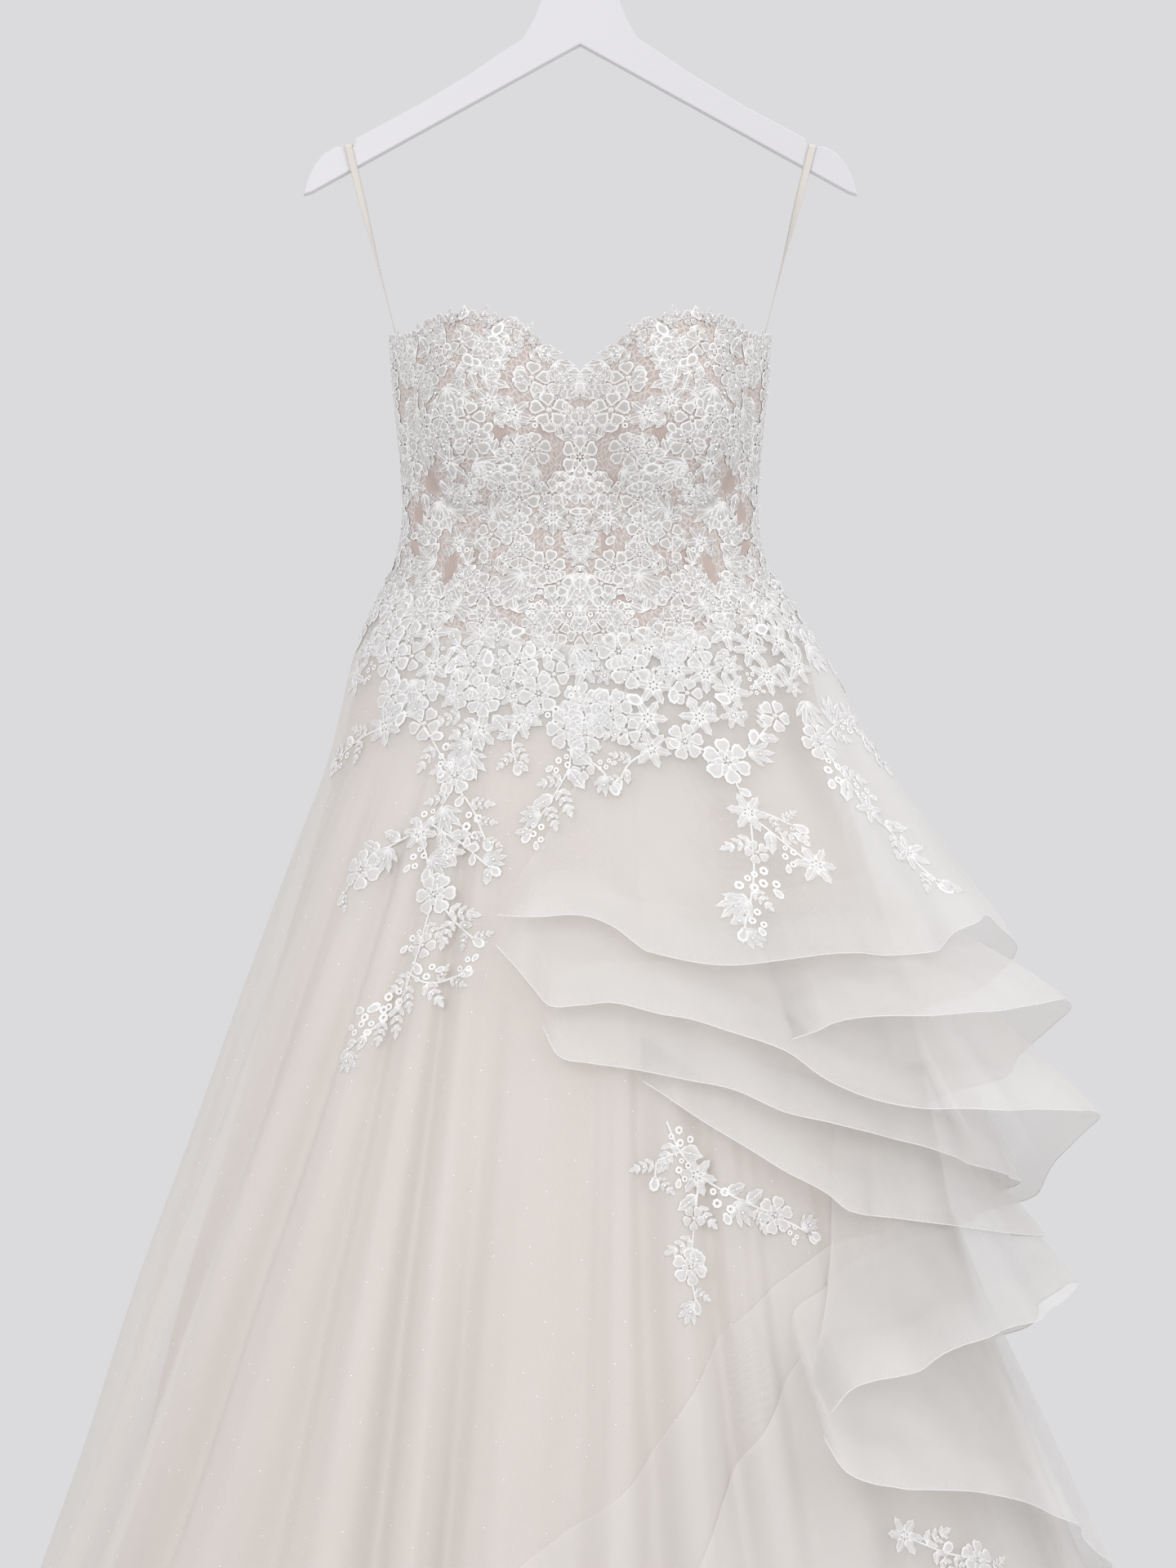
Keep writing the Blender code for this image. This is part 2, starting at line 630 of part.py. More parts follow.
def raised(grid, distance):
    """The grid's points moved out along the surface's own normals."""
    rows, columns = len(grid), len(grid[0])
    result = []
    for r in range(rows):
        above, below = grid[max(r - 1, 0)], grid[min(r + 1, rows - 1)]
        moved = []
        for c in range(columns):
            down = below[c] - above[c]
            along = grid[r][min(c + 1, columns - 1)] - grid[r][max(c - 1, 0)]
            moved.append(grid[r][c] + down.cross(along).normalized() * distance * MM)
        result.append(moved)
    return result


def spread(first, last, count):
    """Values in equal steps from first to last, both included."""
    return [first + (last - first) * i / (count - 1) for i in range(count)]


# ---------------------------------------------------------------------------------------------
# Bodice
# ---------------------------------------------------------------------------------------------

Panel = namedtuple("Panel", "name turns top bottom rows gaps")


def bodice_panels():
    """The bodice's panels.  Those that meet share the turns of their columns, so that their seams match."""
    middle = spread(0.0, PRINCESS_TURN, 4)
    front = spread(PRINCESS_TURN, SIDE_FRONT_TURN, 6)
    panels = [Panel("bodice_front", [-turn for turn in middle[:0:-1]] + middle, CUP_SEAM, WAIST, 6,
                    (SEAM_GAP, SEAM_GAP))]
    halves = [
        ("cup_", middle + front[1:], NECKLINE, CUP_SEAM, 8, SEAM_GAP),
        ("bodice_side_front_", front, CUP_SEAM, WAIST, 6, SEAM_GAP),
        ("bodice_side_", spread(SIDE_FRONT_TURN, SIDE_BACK_TURN, 7), NECKLINE, WAIST, 7, SEAM_GAP),
        ("bodice_back_", spread(SIDE_BACK_TURN, 180, 7), NECKLINE, WAIST, 7, ZIP_SLOT),
    ]
    for prefix, turns, top, bottom, rows, far_gap in halves:
        panels.append(Panel(prefix + "right", turns, top, bottom, rows, (SEAM_GAP, far_gap)))
        panels.append(Panel(prefix + "left", [-turn for turn in reversed(turns)], top, bottom, rows,
                            (far_gap, SEAM_GAP)))
    return panels


def panel_places(item):
    """Rows of (turn, drop) places from a panel's upper edge down to its lower one."""
    return [[(turn, edge_drop(item.top, turn) * (1 - share) + edge_drop(item.bottom, turn) * share)
             for turn in item.turns] for share in spread(0.0, 1.0, item.rows)]


def make_bodice():
    net = make_material("body_net", NET, 0.75)
    for item in bodice_panels():
        grid = []
        places = panel_places(item)
        for places_row in places:
            row = []
            for turn, drop in places_row:
                if places_row is places[0] and item.top is CUP_SEAM:
                    drop += SEAM_GAP / 2
                elif places_row is places[-1]:
                    drop -= SEAM_GAP / 2
                if turn == item.turns[0]:
                    turn = turn_beside(turn, drop, item.gaps[0] / 2)
                elif turn == item.turns[-1]:
                    turn = turn_beside(turn, drop, -item.gaps[1] / 2)
                row.append(form_point(turn, drop, bodice_out(turn, drop)))
            grid.append(row)
        cloth(item.name, grid, BODICE_WALL, net)


BONE_WIDTH = 7.0
BONE_INSET = 0.9


def make_bones():
    """Boning channels sewn inside the front princess seams."""
    ribbon = make_material("boning", IVORY, 0.6)
    for side, name in ((-1, "left"), (1, "right")):
        grid = []
        for drop in spread(edge_drop(CUP_SEAM, PRINCESS_TURN) + 4, edge_drop(WAIST, PRINCESS_TURN) - 4, 7):
            centre = side * PRINCESS_TURN
            row = [turn_beside(centre, drop, shift) for shift in (-BONE_WIDTH / 2, BONE_WIDTH / 2)]
            inside = BODICE_WALL + BONE_INSET
            grid.append([form_point(turn, drop, bodice_out(turn, drop) - inside) for turn in row])
        cloth("bone_" + name, grid, BAND_WALL, ribbon)


# ---------------------------------------------------------------------------------------------
# Zip
# ---------------------------------------------------------------------------------------------

def lining_out(drop):
    """The lining is a little inside the bodice's outer face at the waist, and well inside the tulle below."""
    sunk = min(1.0, max(0.0, (drop - LINING_TOP) / (SKIRT_DROPS[0] - LINING_TOP)))
    growth = max(0.0, (drop - ZIP_END) / (HEM_DROP - ZIP_END)) ** FOLD_GROWTH
    return LINING_OUT - LINING_SUNK * sunk - LINING_DRAW_IN * growth


def make_zip():
    """Zip chain in the centre back slot, with its slider and the pull tab that swings on it."""
    silver = make_material("zip_metal", STEEL, 0.3, 1.0)
    grid = []
    waist = edge_drop(WAIST, 180)
    for drop in (ZIP_TOP, 440.0, 488.0, 525.0, waist - 2, waist + 2, SKIRT_DROPS[0], ZIP_END - 2):
        out = 0.0 if drop < waist else lining_out(drop)
        grid.append([form_point(turn_beside(180, drop, shift), drop, out)
                     for shift in (-ZIP_WIDTH / 2, ZIP_WIDTH / 2)])
    cloth("zip_chain", grid, BODICE_WALL, make_material("zip_tape", IVORY, 0.6))

    width, depth, height = SLIDER_SIZE
    back = form_point(180, SLIDER_DROP).y / MM
    face = back + 0.3 + depth
    bpy.ops.mesh.primitive_cube_add(size=1, location=(0, (face - depth / 2) * MM, -SLIDER_DROP * MM))
    slider = bpy.context.active_object
    slider.name = "zip_slider"
    slider.scale = (width * MM, depth * MM, height * MM)
    bpy.ops.object.transform_apply(location=False, rotation=False, scale=True)
    slider.data.materials.append(silver)
    bevel = slider.modifiers.new("edges", "BEVEL")
    bevel.width = 0.5 * MM
    bevel.segments = 1
    pivot = Vector((0, (face + PIVOT_STAND) * MM, -SLIDER_DROP * MM))
    bpy.ops.mesh.primitive_torus_add(
        location=pivot, rotation=(0, math.pi / 2, 0), major_segments=16, minor_segments=6,
        major_radius=BRIDGE_RADIUS * MM, minor_radius=BRIDGE_THICK / 2 * MM)
    bridge = bpy.context.active_object
    bridge.name = "bridge_cutter"
    bridge.hide_render = True
    bridge.display_type = "WIRE"
    union = slider.modifiers.new("bridge", "BOOLEAN")
    union.operation = "UNION"
    union.object = bridge
    collect(slider)
    collect(bridge, "cutters")

    half_window, window_top, window_end = PULL_WINDOW
    outer = [(-2.6, window_top), (-2.9, -4), (-PULL_WIDTH / 2, -PULL_LENGTH + 8)]
    outer += [(-PULL_WIDTH / 2 * math.cos(math.radians(a)), -PULL_LENGTH + 6 - 6 * math.sin(math.radians(a)))
              for a in (30, 60, 90, 120, 150)]
    outer += [(PULL_WIDTH / 2, -PULL_LENGTH + 8), (2.9, -4), (2.6, window_top)]
    window = [(-half_window, -window_top), (half_window, -window_top), (half_window, -window_end),
              (-half_window, -window_end)]
    pull = flat_shape("zip_pull", (outer, window), PULL_THICK / 2, silver)
    pull.location = pivot


def flat_shape(name, outlines, half_thick, material):
    """Upright plate from outlines in millimetres, across and up, as a flat curve with thickness."""
    curve = bpy.data.curves.new(name, "CURVE")
    curve.dimensions = "2D"
    curve.fill_mode = "BOTH"
    curve.extrude = half_thick * MM
    for outline in outlines:
        spline = curve.splines.new("POLY")
        spline.points.add(len(outline) - 1)
        for point, (across, up) in zip(spline.points, outline):
            point.co = (across * MM, up * MM, 0, 1)
        spline.use_cyclic_u = True
    plate = add_object(name, curve, material)
    plate.rotation_euler = (math.pi / 2, 0, 0)
    return plate


# ---------------------------------------------------------------------------------------------
# Skirt, lining and flounces
# ---------------------------------------------------------------------------------------------

def make_skirt():
    """Tulle overskirt in four panels, whose columns run along the lines of the folds."""
    tulle = make_material("tulle", IVORY, 0.85)
    left, front, right = (4 * SKIRT_SEAMS[key] + 4 for key in ("left", "front", "right"))
    spans = {
        "skirt_back_left": (0, left), "skirt_front_left": (left, front),
        "skirt_front_right": (front, right), "skirt_back_right": (right, len(FOLD_LINES) - 1),
    }
    for name, (first, last) in spans.items():
        lines = FOLD_LINES[first:last + 1]
        grid = []
        for level in range(len(SKIRT_DROPS) + 1):
            row = []
            for line in lines:
                drop = SKIRT_DROPS[level - 1] if level else edge_drop(WAIST, line.top) + WAIST_GAP
                turn = line_turn(line, drop)
                if line is lines[0]:
                    turn = turn_beside(turn, drop, SKIRT_SEAM_GAP / 2)
                elif line is lines[-1]:
                    turn = turn_beside(turn, drop, -SKIRT_SEAM_GAP / 2)
                row.append(form_point(turn, drop, line_out(line, drop)))
            grid.append(row)
        cloth(name, grid, SKIRT_WALL, tulle)


def make_lining():
    """Satin lining: one front, and two backs that part for the zip."""
    satin = make_material("satin_lining", BLUSH, 0.35)
    for name, first, last, count in (("lining_back_left", -180, -90, 8), ("lining_front", -90, 90, 13),
                                     ("lining_back_right", 90, 180, 8)):
        grid = []
        for level in (0, SKIRT_DROPS[0], ZIP_END, 980.0, HEM_DROP - 12):
            row = []
            for turn in spread(first, last, count):
                drop = level or edge_drop(WAIST, turn) + WAIST_GAP
                gap = ZIP_SLOT if abs(turn) == 180 and drop <= ZIP_END else SKIRT_SEAM_GAP
                if turn == first:
                    turn = turn_beside(turn, drop, gap / 2)
                elif turn == last:
                    turn = turn_beside(turn, drop, -gap / 2)
                row.append(form_point(turn, drop, lining_out(drop)))
            grid.append(row)
        cloth(name, grid, LINING_WALL, satin)


def make_flounces():
    """Organza flounces, each with a horsehair band laid on the outside of its hem."""
    organza = make_material("organza", IVORY, 0.6)
    horsehair = make_material("horsehair", LACE_WHITE, 0.5)
    settle_flounces()
    for level, columns in enumerate(FLOUNCE_COLUMNS):
        walls = [[form_point(column.turn, drop, out)
                  for drop, out in zip(level_drops(column), FLOUNCE_OUTS[level][i])]
                 for i, column in enumerate(columns)]
        rows = [list(row) for row in zip(*walls)]
        cloth(f"flounce_{level + 1}", rows, SKIRT_WALL, organza)
        cloth(f"band_{level + 1}", raised(rows, BAND_WALL + BAND_CLEARANCE)[-2:], BAND_WALL, horsehair)


# ---------------------------------------------------------------------------------------------
# Lace
# ---------------------------------------------------------------------------------------------

def laid_on(names, beyond=None):
    """Stand-off of the outer face that is met first among some finished pieces, or of a form past them."""
    depsgraph = bpy.context.evaluated_depsgraph_get()
    trees = [BVHTree.FromObject(bpy.data.objects[name], depsgraph) for name in names]

    def stand_off(turn, drop):
        hits = []
        for beside in (0.0, -SEAM_SEARCH, SEAM_SEARCH):
            start = form_point(turn + beside, drop, CAST_FROM)
            inward = (form_point(turn + beside, drop) - start).normalized()
            hits += [hit[3] for hit in (tree.ray_cast(start, inward, CAST_REACH * MM) for tree in trees)
                     if hit[0]]
        if hits:
            return CAST_FROM - min(hits) / MM
        return beyond(turn, drop) if beyond else None

    return stand_off


def lay_lace(name, shapes, gaps, studs, creases, stand_off, lift, material):
    """Piece of lace cut to flat shapes with gaps, bent where its carrier bends, and laid on it.

    Shapes and gaps are lists of (turn, drop) corners, studs are points (turn, drop, rise) inside them.
    """
    outlines = list(shapes) + list(gaps)
    corners = [corner for outline in outlines for corner in outline]
    faces = []
    for outline in outlines:
        start = sum(len(face) for face in faces)
        faces.append(list(range(start, start + len(outline))))
    first_stud = len(corners)
    corners += [(turn, drop) for turn, drop, _ in studs]
    edges = []
    for start, end in creases:
        edges.append((len(corners), len(corners) + 1))
        corners += [start, end]
    flat = [Vector((turn * LACE_SCALE, drop)) for turn, drop in corners]
    points, _, triangles, origins, _, cover = geometry.delaunay_2d_cdt(flat, edges, faces, 1, 0.05)
    kept = [triangle for triangle, over in zip(triangles, cover)
            if over and max(over) < len(shapes)]
    rises = {index: studs[source - first_stud][2] for index, sources in enumerate(origins)
             for source in sources if first_stud <= source < first_stud + len(studs)}
    bm = bmesh.new()
    made = {}
    for index in sorted({corner for triangle in kept for corner in triangle}):
        turn, drop = points[index].x / LACE_SCALE, points[index].y
        out = stand_off(turn, drop)
        if out is None:
            raise ValueError(f"{name}: nothing carries the lace at turn {turn:.1f}, drop {drop:.0f}")
        made[index] = bm.verts.new(form_point(turn, drop, out + lift + rises.get(index, 0.0)))
    for triangle in kept:
        bm.faces.new([made[corner] for corner in triangle])
    bmesh.ops.dissolve_degenerate(bm, dist=LACE_SHORTEST * MM, edges=bm.edges)
    bmesh.ops.triangulate(bm, faces=bm.faces)
    bmesh.ops.recalc_face_normals(bm, faces=bm.faces)
    sample = max(bm.faces, key=lambda face: face.calc_area())
    centre = sample.calc_center_median()
    if sample.normal.dot(Vector((centre.x, centre.y, 0))) < 0:
        bmesh.ops.reverse_faces(bm, faces=bm.faces)
    mesh = bpy.data.meshes.new(name)
    bm.to_mesh(mesh)
    bm.free()
    return add_wall(add_object(name, mesh, material), LACE_WALL)


BodiceLace = namedtuple("BodiceLace", "name panels first last")
BODICE_LACE = [
    BodiceLace("lace_front_right", ("bodice_front", "cup_right", "bodice_side_front_right"), 0.0, 58.0),
    BodiceLace("lace_side_right", ("bodice_side_right",), 58.0, 112.0),
    BodiceLace("lace_back_right", ("bodice_back_right",), 112.0, 180.0),
]
LACE_ABOVE_NECK = 2.5
LACE_ABOVE_WAIST = 1.5
LACE_SEAM_SHIFT = 0.35
LACE_ZIP_SHIFT = 3.6
FLOWER_RISE = 1.0
BODICE_GAP = 0.39       # reach of a gap's corners, as a share of its cell's smaller side
GAP_ANGLES = (90, 210, 330)


def make_bodice_lace(material):
    """Openwork over the bodice, made from the places of its panels: flowers, and gaps between them."""
    panels = {item.name: item for item in bodice_panels()}
    for piece in BODICE_LACE:
        for side in (1, -1):
            carriers = [name if side > 0 else name.replace("right", "left") for name in piece.panels]
            gaps, creases, places_kept = [], [], set()
            for name in carriers:
                places = panel_places(panels[name])
                moved = [[lace_place(turn, drop, side, piece) for turn, drop in row] for row in places]
                for r in range(len(places) - 1):
                    for c in range(len(places[0]) - 1):
                        cell = (places[r][c], places[r][c + 1], places[r + 1][c], places[r + 1][c + 1])
                        if not all(piece.first <= side * turn <= piece.last for turn, _ in cell):
                            continue
                        here, right, below, across = (moved[r][c], moved[r][c + 1], moved[r + 1][c],
                                                      moved[r + 1][c + 1])
                        creases += [(here, right), (here, below), (right, across), (below, across)]
                        pattern_column = c if side > 0 else len(places[0]) - 2 - c
                        if (r + 2 * pattern_column) % 4 == 1:
                            gaps.append(cell_gap(cell, BODICE_GAP))
                        else:
                            creases.append((here, across))
                        if (r + c) % 2 and (r, c) > (0, 0):
                            places_kept.add(here)
            studs = [(turn, drop, FLOWER_RISE) for turn, drop in places_kept
                     if piece.first + 2 < side * turn < piece.last - 2
                     and edge_drop(NECKLINE, turn) + 2 < drop < edge_drop(WAIST, turn) - 4]
            lay_lace(piece.name if side > 0 else piece.name.replace("right", "left"),
                     [lace_outline(piece, panels, side)], gaps, studs, creases,
                     laid_on(carriers, bodice_out), BODICE_LACE_LIFT, material)


def lace_outline(piece, panels, side):
    """Corners round a piece of bodice lace, whose upper edge is scalloped."""
    turns = sorted({turn for name in piece.panels for turn in panels[name].turns
                    if piece.first <= turn <= piece.last})
    top = []
    for turn, following in zip(turns, turns[1:]):
        middle = (turn + following) / 2
        top += [(turn, edge_drop(NECKLINE, turn)), (middle, edge_drop(NECKLINE, middle) - LACE_ABOVE_NECK)]
    top.append((turns[-1], edge_drop(NECKLINE, turns[-1])))
    foot = [(turn, edge_drop(WAIST, turn)) for turn in reversed(turns)]
    ends = []
    for end in (piece.last, piece.first):
        drops = sorted({drop for name in piece.panels for row in panel_places(panels[name])
                        for turn, drop in row if turn == end})
        ends.append([(end, drop) for drop in drops
                     if edge_drop(NECKLINE, end) + 1 < drop < edge_drop(WAIST, end) - 1])
    outline = [lace_place(side * turn, drop, side, piece)
               for turn, drop in top + ends[0] + foot + ends[1][::-1]]
    return outline[::side]


def lace_place(turn, drop, side, piece):
    """Place of a panel's corner on the lace, which ends above the waist and beside its own seams."""
    drop = min(drop, edge_drop(WAIST, turn) - LACE_ABOVE_WAIST)
    far_shift = LACE_ZIP_SHIFT if piece.last == 180 else LACE_SEAM_SHIFT
    if turn * side == piece.first:
        turn = turn_beside(turn, drop, side * LACE_SEAM_SHIFT)
    elif turn * side == piece.last:
        turn = turn_beside(turn, drop, -side * far_shift)
    return turn, drop


def cell_gap(cell, share):
    """Three-pointed gap in the middle of a cell with four corners."""
    turn = sum(corner[0] for corner in cell) / 4
    drop = sum(corner[1] for corner in cell) / 4
    scale = span_scale(turn - 1, turn + 1, drop)
    width = (cell[1][0] - cell[0][0]) * scale
    height = (cell[2][1] - cell[0][1] + cell[3][1] - cell[1][1]) / 2
    reach = share * min(width, height)
    return [(turn + reach * math.cos(math.radians(angle)) / scale,
             drop + reach * math.sin(math.radians(angle))) for angle in GAP_ANGLES]


def span_scale(first, last, drop):
    """Millimetres for a degree along a stretch of the form."""
    steps = spread(first, last, 5)
    length = sum((form_point(b, drop) - form_point(a, drop)).length for a, b in zip(steps, steps[1:]))
    return length / MM / (last - first)


Girdle = namedtuple("Girdle", "name first last carriers")
GIRDLES = [
    Girdle("girdle_front_left", -86.5, 7.6, ("skirt_front_left", "skirt_front_right")),
    Girdle("girdle_front_right", 10.6, 94.5, ("flounce_1",)),
    Girdle("girdle_back_right", 95.5, 177.0, ("flounce_1",)),
    Girdle("girdle_back_left", -177.0, -89.5, ("skirt_back_left",)),
]
GIRDLE_STEP = 11.0
GIRDLE_GAP = 6.5


def make_girdles(material):
    """Lace over the waist seam, with a pointed lower edge and a gap in every other point."""
    for girdle in GIRDLES:
        count = 2 * int((girdle.last - girdle.first) / GIRDLE_STEP / 2) + 1
        turns = spread(girdle.first, girdle.last, count)
        top = [(turn, edge_drop(WAIST, turn) + WAIST_GAP + 2) for turn in turns]
        low = []
        for i, turn in enumerate(turns):
            depth = GIRDLE_DEPTH + (GIRDLE_SCALLOP if i % 2 else -GIRDLE_SCALLOP)
            low.append((turn, edge_drop(WAIST, turn) + depth * (0.7 if turn in (turns[0], turns[-1]) else 1)))
        gaps = []
        for turn in turns[1::2]:
            scale = span_scale(turn - 1, turn + 1, 620)
            drop = edge_drop(WAIST, turn) + GIRDLE_DEPTH / 2
            gaps.append([(turn + reach * math.cos(math.radians(angle)) / scale,
                          drop + reach * math.sin(math.radians(angle)))
                         for angle, reach in zip(range(30, 390, 60), (GIRDLE_GAP, GIRDLE_GAP * 0.5) * 3)])
        lay_lace(girdle.name, [top + low[::-1]], gaps, [], carrier_creases(girdle.carriers, 0, 680),
                 laid_on(girdle.carriers), GIRDLE_LIFT, material)


def carrier_creases(names, top, bottom):
    """Lines along which the carriers' walls bend: the folds of the skirt or the columns of a flounce."""
    creases = []
    for name in names:
        if name.startswith("flounce"):
            columns = FLOUNCE_COLUMNS[int(name[-1]) - 1]
            creases += [((column.turn, max(column.root, top)), (column.turn, min(column.hem, bottom)))
                        for column in columns if column.root < bottom and column.hem > top]
    if any(name.startswith("skirt") for name in names):
        creases += [((line_turn(line, top), top), (line_turn(line, bottom), bottom)) for line in FOLD_LINES]
    return creases


def motif_outline(motif):
    """Corners of one motif in millimetres about its own centre or foot."""
    size = motif.size / 2
    if motif.kind == "flower":
        shape = [(angle, size * reach) for petal in range(PETALS)
                 for angle, reach in ((-36, 0.62), (-14, 1.0), (14, 1.0))
                 for angle in (angle + 360 / PETALS * petal,)]
        return [(reach * math.cos(math.radians(angle)), reach * math.sin(math.radians(angle)))
                for angle, reach in shape]
    if motif.kind == "leaf":
        return [(length * size * 2, width * size) for length, width in
                ((0, -0.12), (0.28, -0.42), (0.62, -0.4), (1.0, 0), (0.62, 0.36), (0.28, 0.4), (0, 0.12))]
    return [(size * math.cos(math.radians(angle)), size * math.sin(math.radians(angle)))
            for angle in range(0, 360, 60)]


def make_sprays(material):
    """Sprays of flowers, leaves and buds joined by stems, each laid on the cloth that carries it."""
    for name, (carriers, motifs) in SPRAYS.items():
        shapes, studs = [], []
        for motif in motifs:
            scale = span_scale(motif.turn - 1, motif.turn + 1, motif.drop)
            spin = math.radians(motif.spin)
            corners = [(across * math.cos(spin) - down * math.sin(spin),
                        across * math.sin(spin) + down * math.cos(spin))
                       for across, down in motif_outline(motif)]
            shapes.append([(motif.turn + across / scale, motif.drop + down) for across, down in corners])
            if motif.kind == "flower":
                studs.append((motif.turn, motif.drop, FLOWER_RISE))
            if motif.joins is not None:
                shapes.append(stem_outline(motifs[motif.joins], motif, scale))
        drops = [corner[1] for shape in shapes for corner in shape]
        lay_lace(name, shapes, [], studs, carrier_creases(carriers, min(drops) - 5, max(drops) + 5),
                 laid_on(carriers), SPRAY_LIFT, material)


def stem_outline(parent, child, scale):
    """Thin strip between two motifs, which reaches a little way into each."""
    along = Vector(((child.turn - parent.turn) * scale, child.drop - parent.drop))
    side = Vector((-along.y, along.x)).normalized() * STEM_WIDTH / 2
    start = Vector((parent.turn * scale, parent.drop))
    end = start + along
    start += along.normalized() * (STEM_REACH * parent.size if parent.kind == "flower" else 0)
    end -= along.normalized() * (STEM_REACH * child.size if child.kind == "flower" else 0)
    corners = (start - side, end - side, end + side, start + side)
    return [(corner.x / scale, corner.y) for corner in corners]


def make_lace():
    lace = make_material("lace", LACE_WHITE, 0.65)
    make_bodice_lace(lace)
    make_girdles(lace)
    make_sprays(lace)


# ---------------------------------------------------------------------------------------------
# Hanger and loops
# ---------------------------------------------------------------------------------------------

def hook_route():
    """Centre line of the hook: round the rod, back under its middle in a reverse bend, and down."""
    radius = HOOK_INNER + HOOK_WIRE
    route = [(radius * math.cos(math.radians(a)), -HOOK_INNER + radius * math.sin(math.radians(a)))
             for a in range(205, -51, -17)]
    end_angle = math.radians(50)
    bend = radius * math.cos(end_angle) / (1 - math.cos(end_angle))
    foot = -HOOK_INNER - radius * math.sin(end_angle) - bend * math.sin(end_angle)
    route += [(bend * (1 - math.cos(end_angle * s)), foot + bend * math.sin(end_angle * s))
              for s in (0.75, 0.5, 0.25, 0.0)]
    return route + [(0, (foot - HOOK_END) / 2), (0, -HOOK_END)]


def make_hanger():
    wood = make_material("painted_wood", WOOD_WHITE, 0.35)
    right = [(across, -drop) for across, drop in WOOD_OUTLINE]
    left = [(-across, up) for across, up in reversed(right[1:])]
    hanger = flat_shape("hanger_wood", [right + [(0, -WOOD_PEAK)] + left], WOOD_HALF_THICK - WOOD_ROUND, wood)
    hanger.data.bevel_depth = WOOD_ROUND * MM
    hanger.data.bevel_resolution = 1

    curve = bpy.data.curves.new("hanger_hook", "CURVE")
    curve.dimensions = "3D"
    curve.bevel_depth = HOOK_WIRE * MM
    curve.bevel_resolution = 2
    curve.use_fill_caps = True
    route = hook_route()
    spline = curve.splines.new("POLY")
    spline.points.add(len(route) - 1)
    for point, (across, up) in zip(spline.points, route):
        point.co = (across * MM, 0, up * MM, 1)
    add_object("hanger_hook", curve, make_material("hook_steel", STEEL, 0.25, 1.0))


LoopStation = namedtuple("LoopStation", "across drop ahead face")


def loop_stations():
    """Front strand of a hanging loop from the side seam to the notch, then over the wood to its middle.

    `face` is how far the ribbon's face has turned from the front towards the side, in degrees.
    """
    stand = WOOD_HALF_THICK + LOOP_WALL / 2 + 0.6
    stations = [LoopStation(LOOP_SEWN_ACROSS, LOOP_SEWN_DROP, 5.2, 90),
                LoopStation(LOOP_SEWN_ACROSS, LOOP_FREE_DROP, 5.2, 90)]
    for share, face in ((0.2, 90), (0.4, 80), (0.55, 60), (0.7, 32), (0.85, 8), (0.97, 0)):
        stations.append(LoopStation(
            LOOP_SEWN_ACROSS + (NOTCH_ACROSS - LOOP_SEWN_ACROSS) * share,
            LOOP_FREE_DROP + (NOTCH_DROP - LOOP_FREE_DROP) * share, 5.2 + (stand - 5.2) * share, face))
    over = NOTCH_DROP - WOOD_ROUND - LOOP_WALL / 2 - 0.6
    stations += [LoopStation(NOTCH_ACROSS, NOTCH_DROP + 0.5, stand, 0),
                 LoopStation(NOTCH_ACROSS, over + 0.4, stand - 0.5, 0),
                 LoopStation(NOTCH_ACROSS, over, stand - 1.4, 0)]
    return stations


def make_loops():
    """Ribbon loops sewn inside the side seams and laid over the hanger's notches."""
    ribbon = make_material("loop_ribbon", IVORY, 0.45)
    front = loop_stations()
    whole = [(station, -1) for station in front] + [(station, 1) for station in reversed(front)]
    for side, name in ((-1, "left"), (1, "right")):
        edges = ([], [])
        for station, depth_side in whole:
            centre = Vector((side * station.across, depth_side * station.ahead, -station.drop))
            face = math.radians(station.face)
            width = Vector((math.cos(face), depth_side * side * math.sin(face), 0)) * LOOP_WIDTH / 2
            edges[0].append((centre - width) * MM)
            edges[1].append((centre + width) * MM)
        item = cloth("hanging_loop_" + name, list(zip(*edges)), LOOP_WALL, ribbon)
        item.modifiers["wall"].offset = 0.0


def main():
    clear_scene()
    make_hanger()
    make_loops()
    make_bodice()
    make_bones()
    make_lining()
    make_skirt()
    make_flounces()
    make_zip()
    make_lace()


main()
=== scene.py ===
"""Dresses the strapless wedding dress on its hanger: cloth, lace, beads, hanger and stage.

Metres, +Z up.  The tables are in millimetres and degrees.  `turn` goes round the body from the centre
front (0) over +X (90) to the centre back (180), and `drop` is the distance below the hook's inner top.
Every piece of cloth stands off one body form by a number of millimetres, which grows outwards.
"""

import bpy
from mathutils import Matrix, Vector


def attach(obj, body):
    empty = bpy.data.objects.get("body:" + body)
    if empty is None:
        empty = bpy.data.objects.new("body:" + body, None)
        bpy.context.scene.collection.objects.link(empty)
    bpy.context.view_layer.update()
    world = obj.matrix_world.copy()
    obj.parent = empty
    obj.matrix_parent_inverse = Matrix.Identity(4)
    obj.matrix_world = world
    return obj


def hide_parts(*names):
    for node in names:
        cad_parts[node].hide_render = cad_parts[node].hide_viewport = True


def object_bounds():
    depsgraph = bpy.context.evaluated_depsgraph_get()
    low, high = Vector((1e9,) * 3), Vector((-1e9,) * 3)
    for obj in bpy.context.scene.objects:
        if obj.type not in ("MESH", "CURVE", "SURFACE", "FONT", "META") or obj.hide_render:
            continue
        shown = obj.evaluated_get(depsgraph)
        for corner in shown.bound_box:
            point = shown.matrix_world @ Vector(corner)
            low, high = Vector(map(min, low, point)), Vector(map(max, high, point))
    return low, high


bl_info = {
    "name": "Wedding Dress on a Hanger",
    "version": (1, 0, 0),
    "blender": (4, 5, 0),
    "location": "3D View > Sidebar > Wedding Dress",
    "description": "Makes the cloth, lace and beads of a strapless wedding dress on its hanger",
    "category": "Object",
}

import math
import random
from collections import namedtuple

import bpy
import numpy as np
from bpy.props import FloatProperty, FloatVectorProperty, IntProperty, PointerProperty
from mathutils import Vector

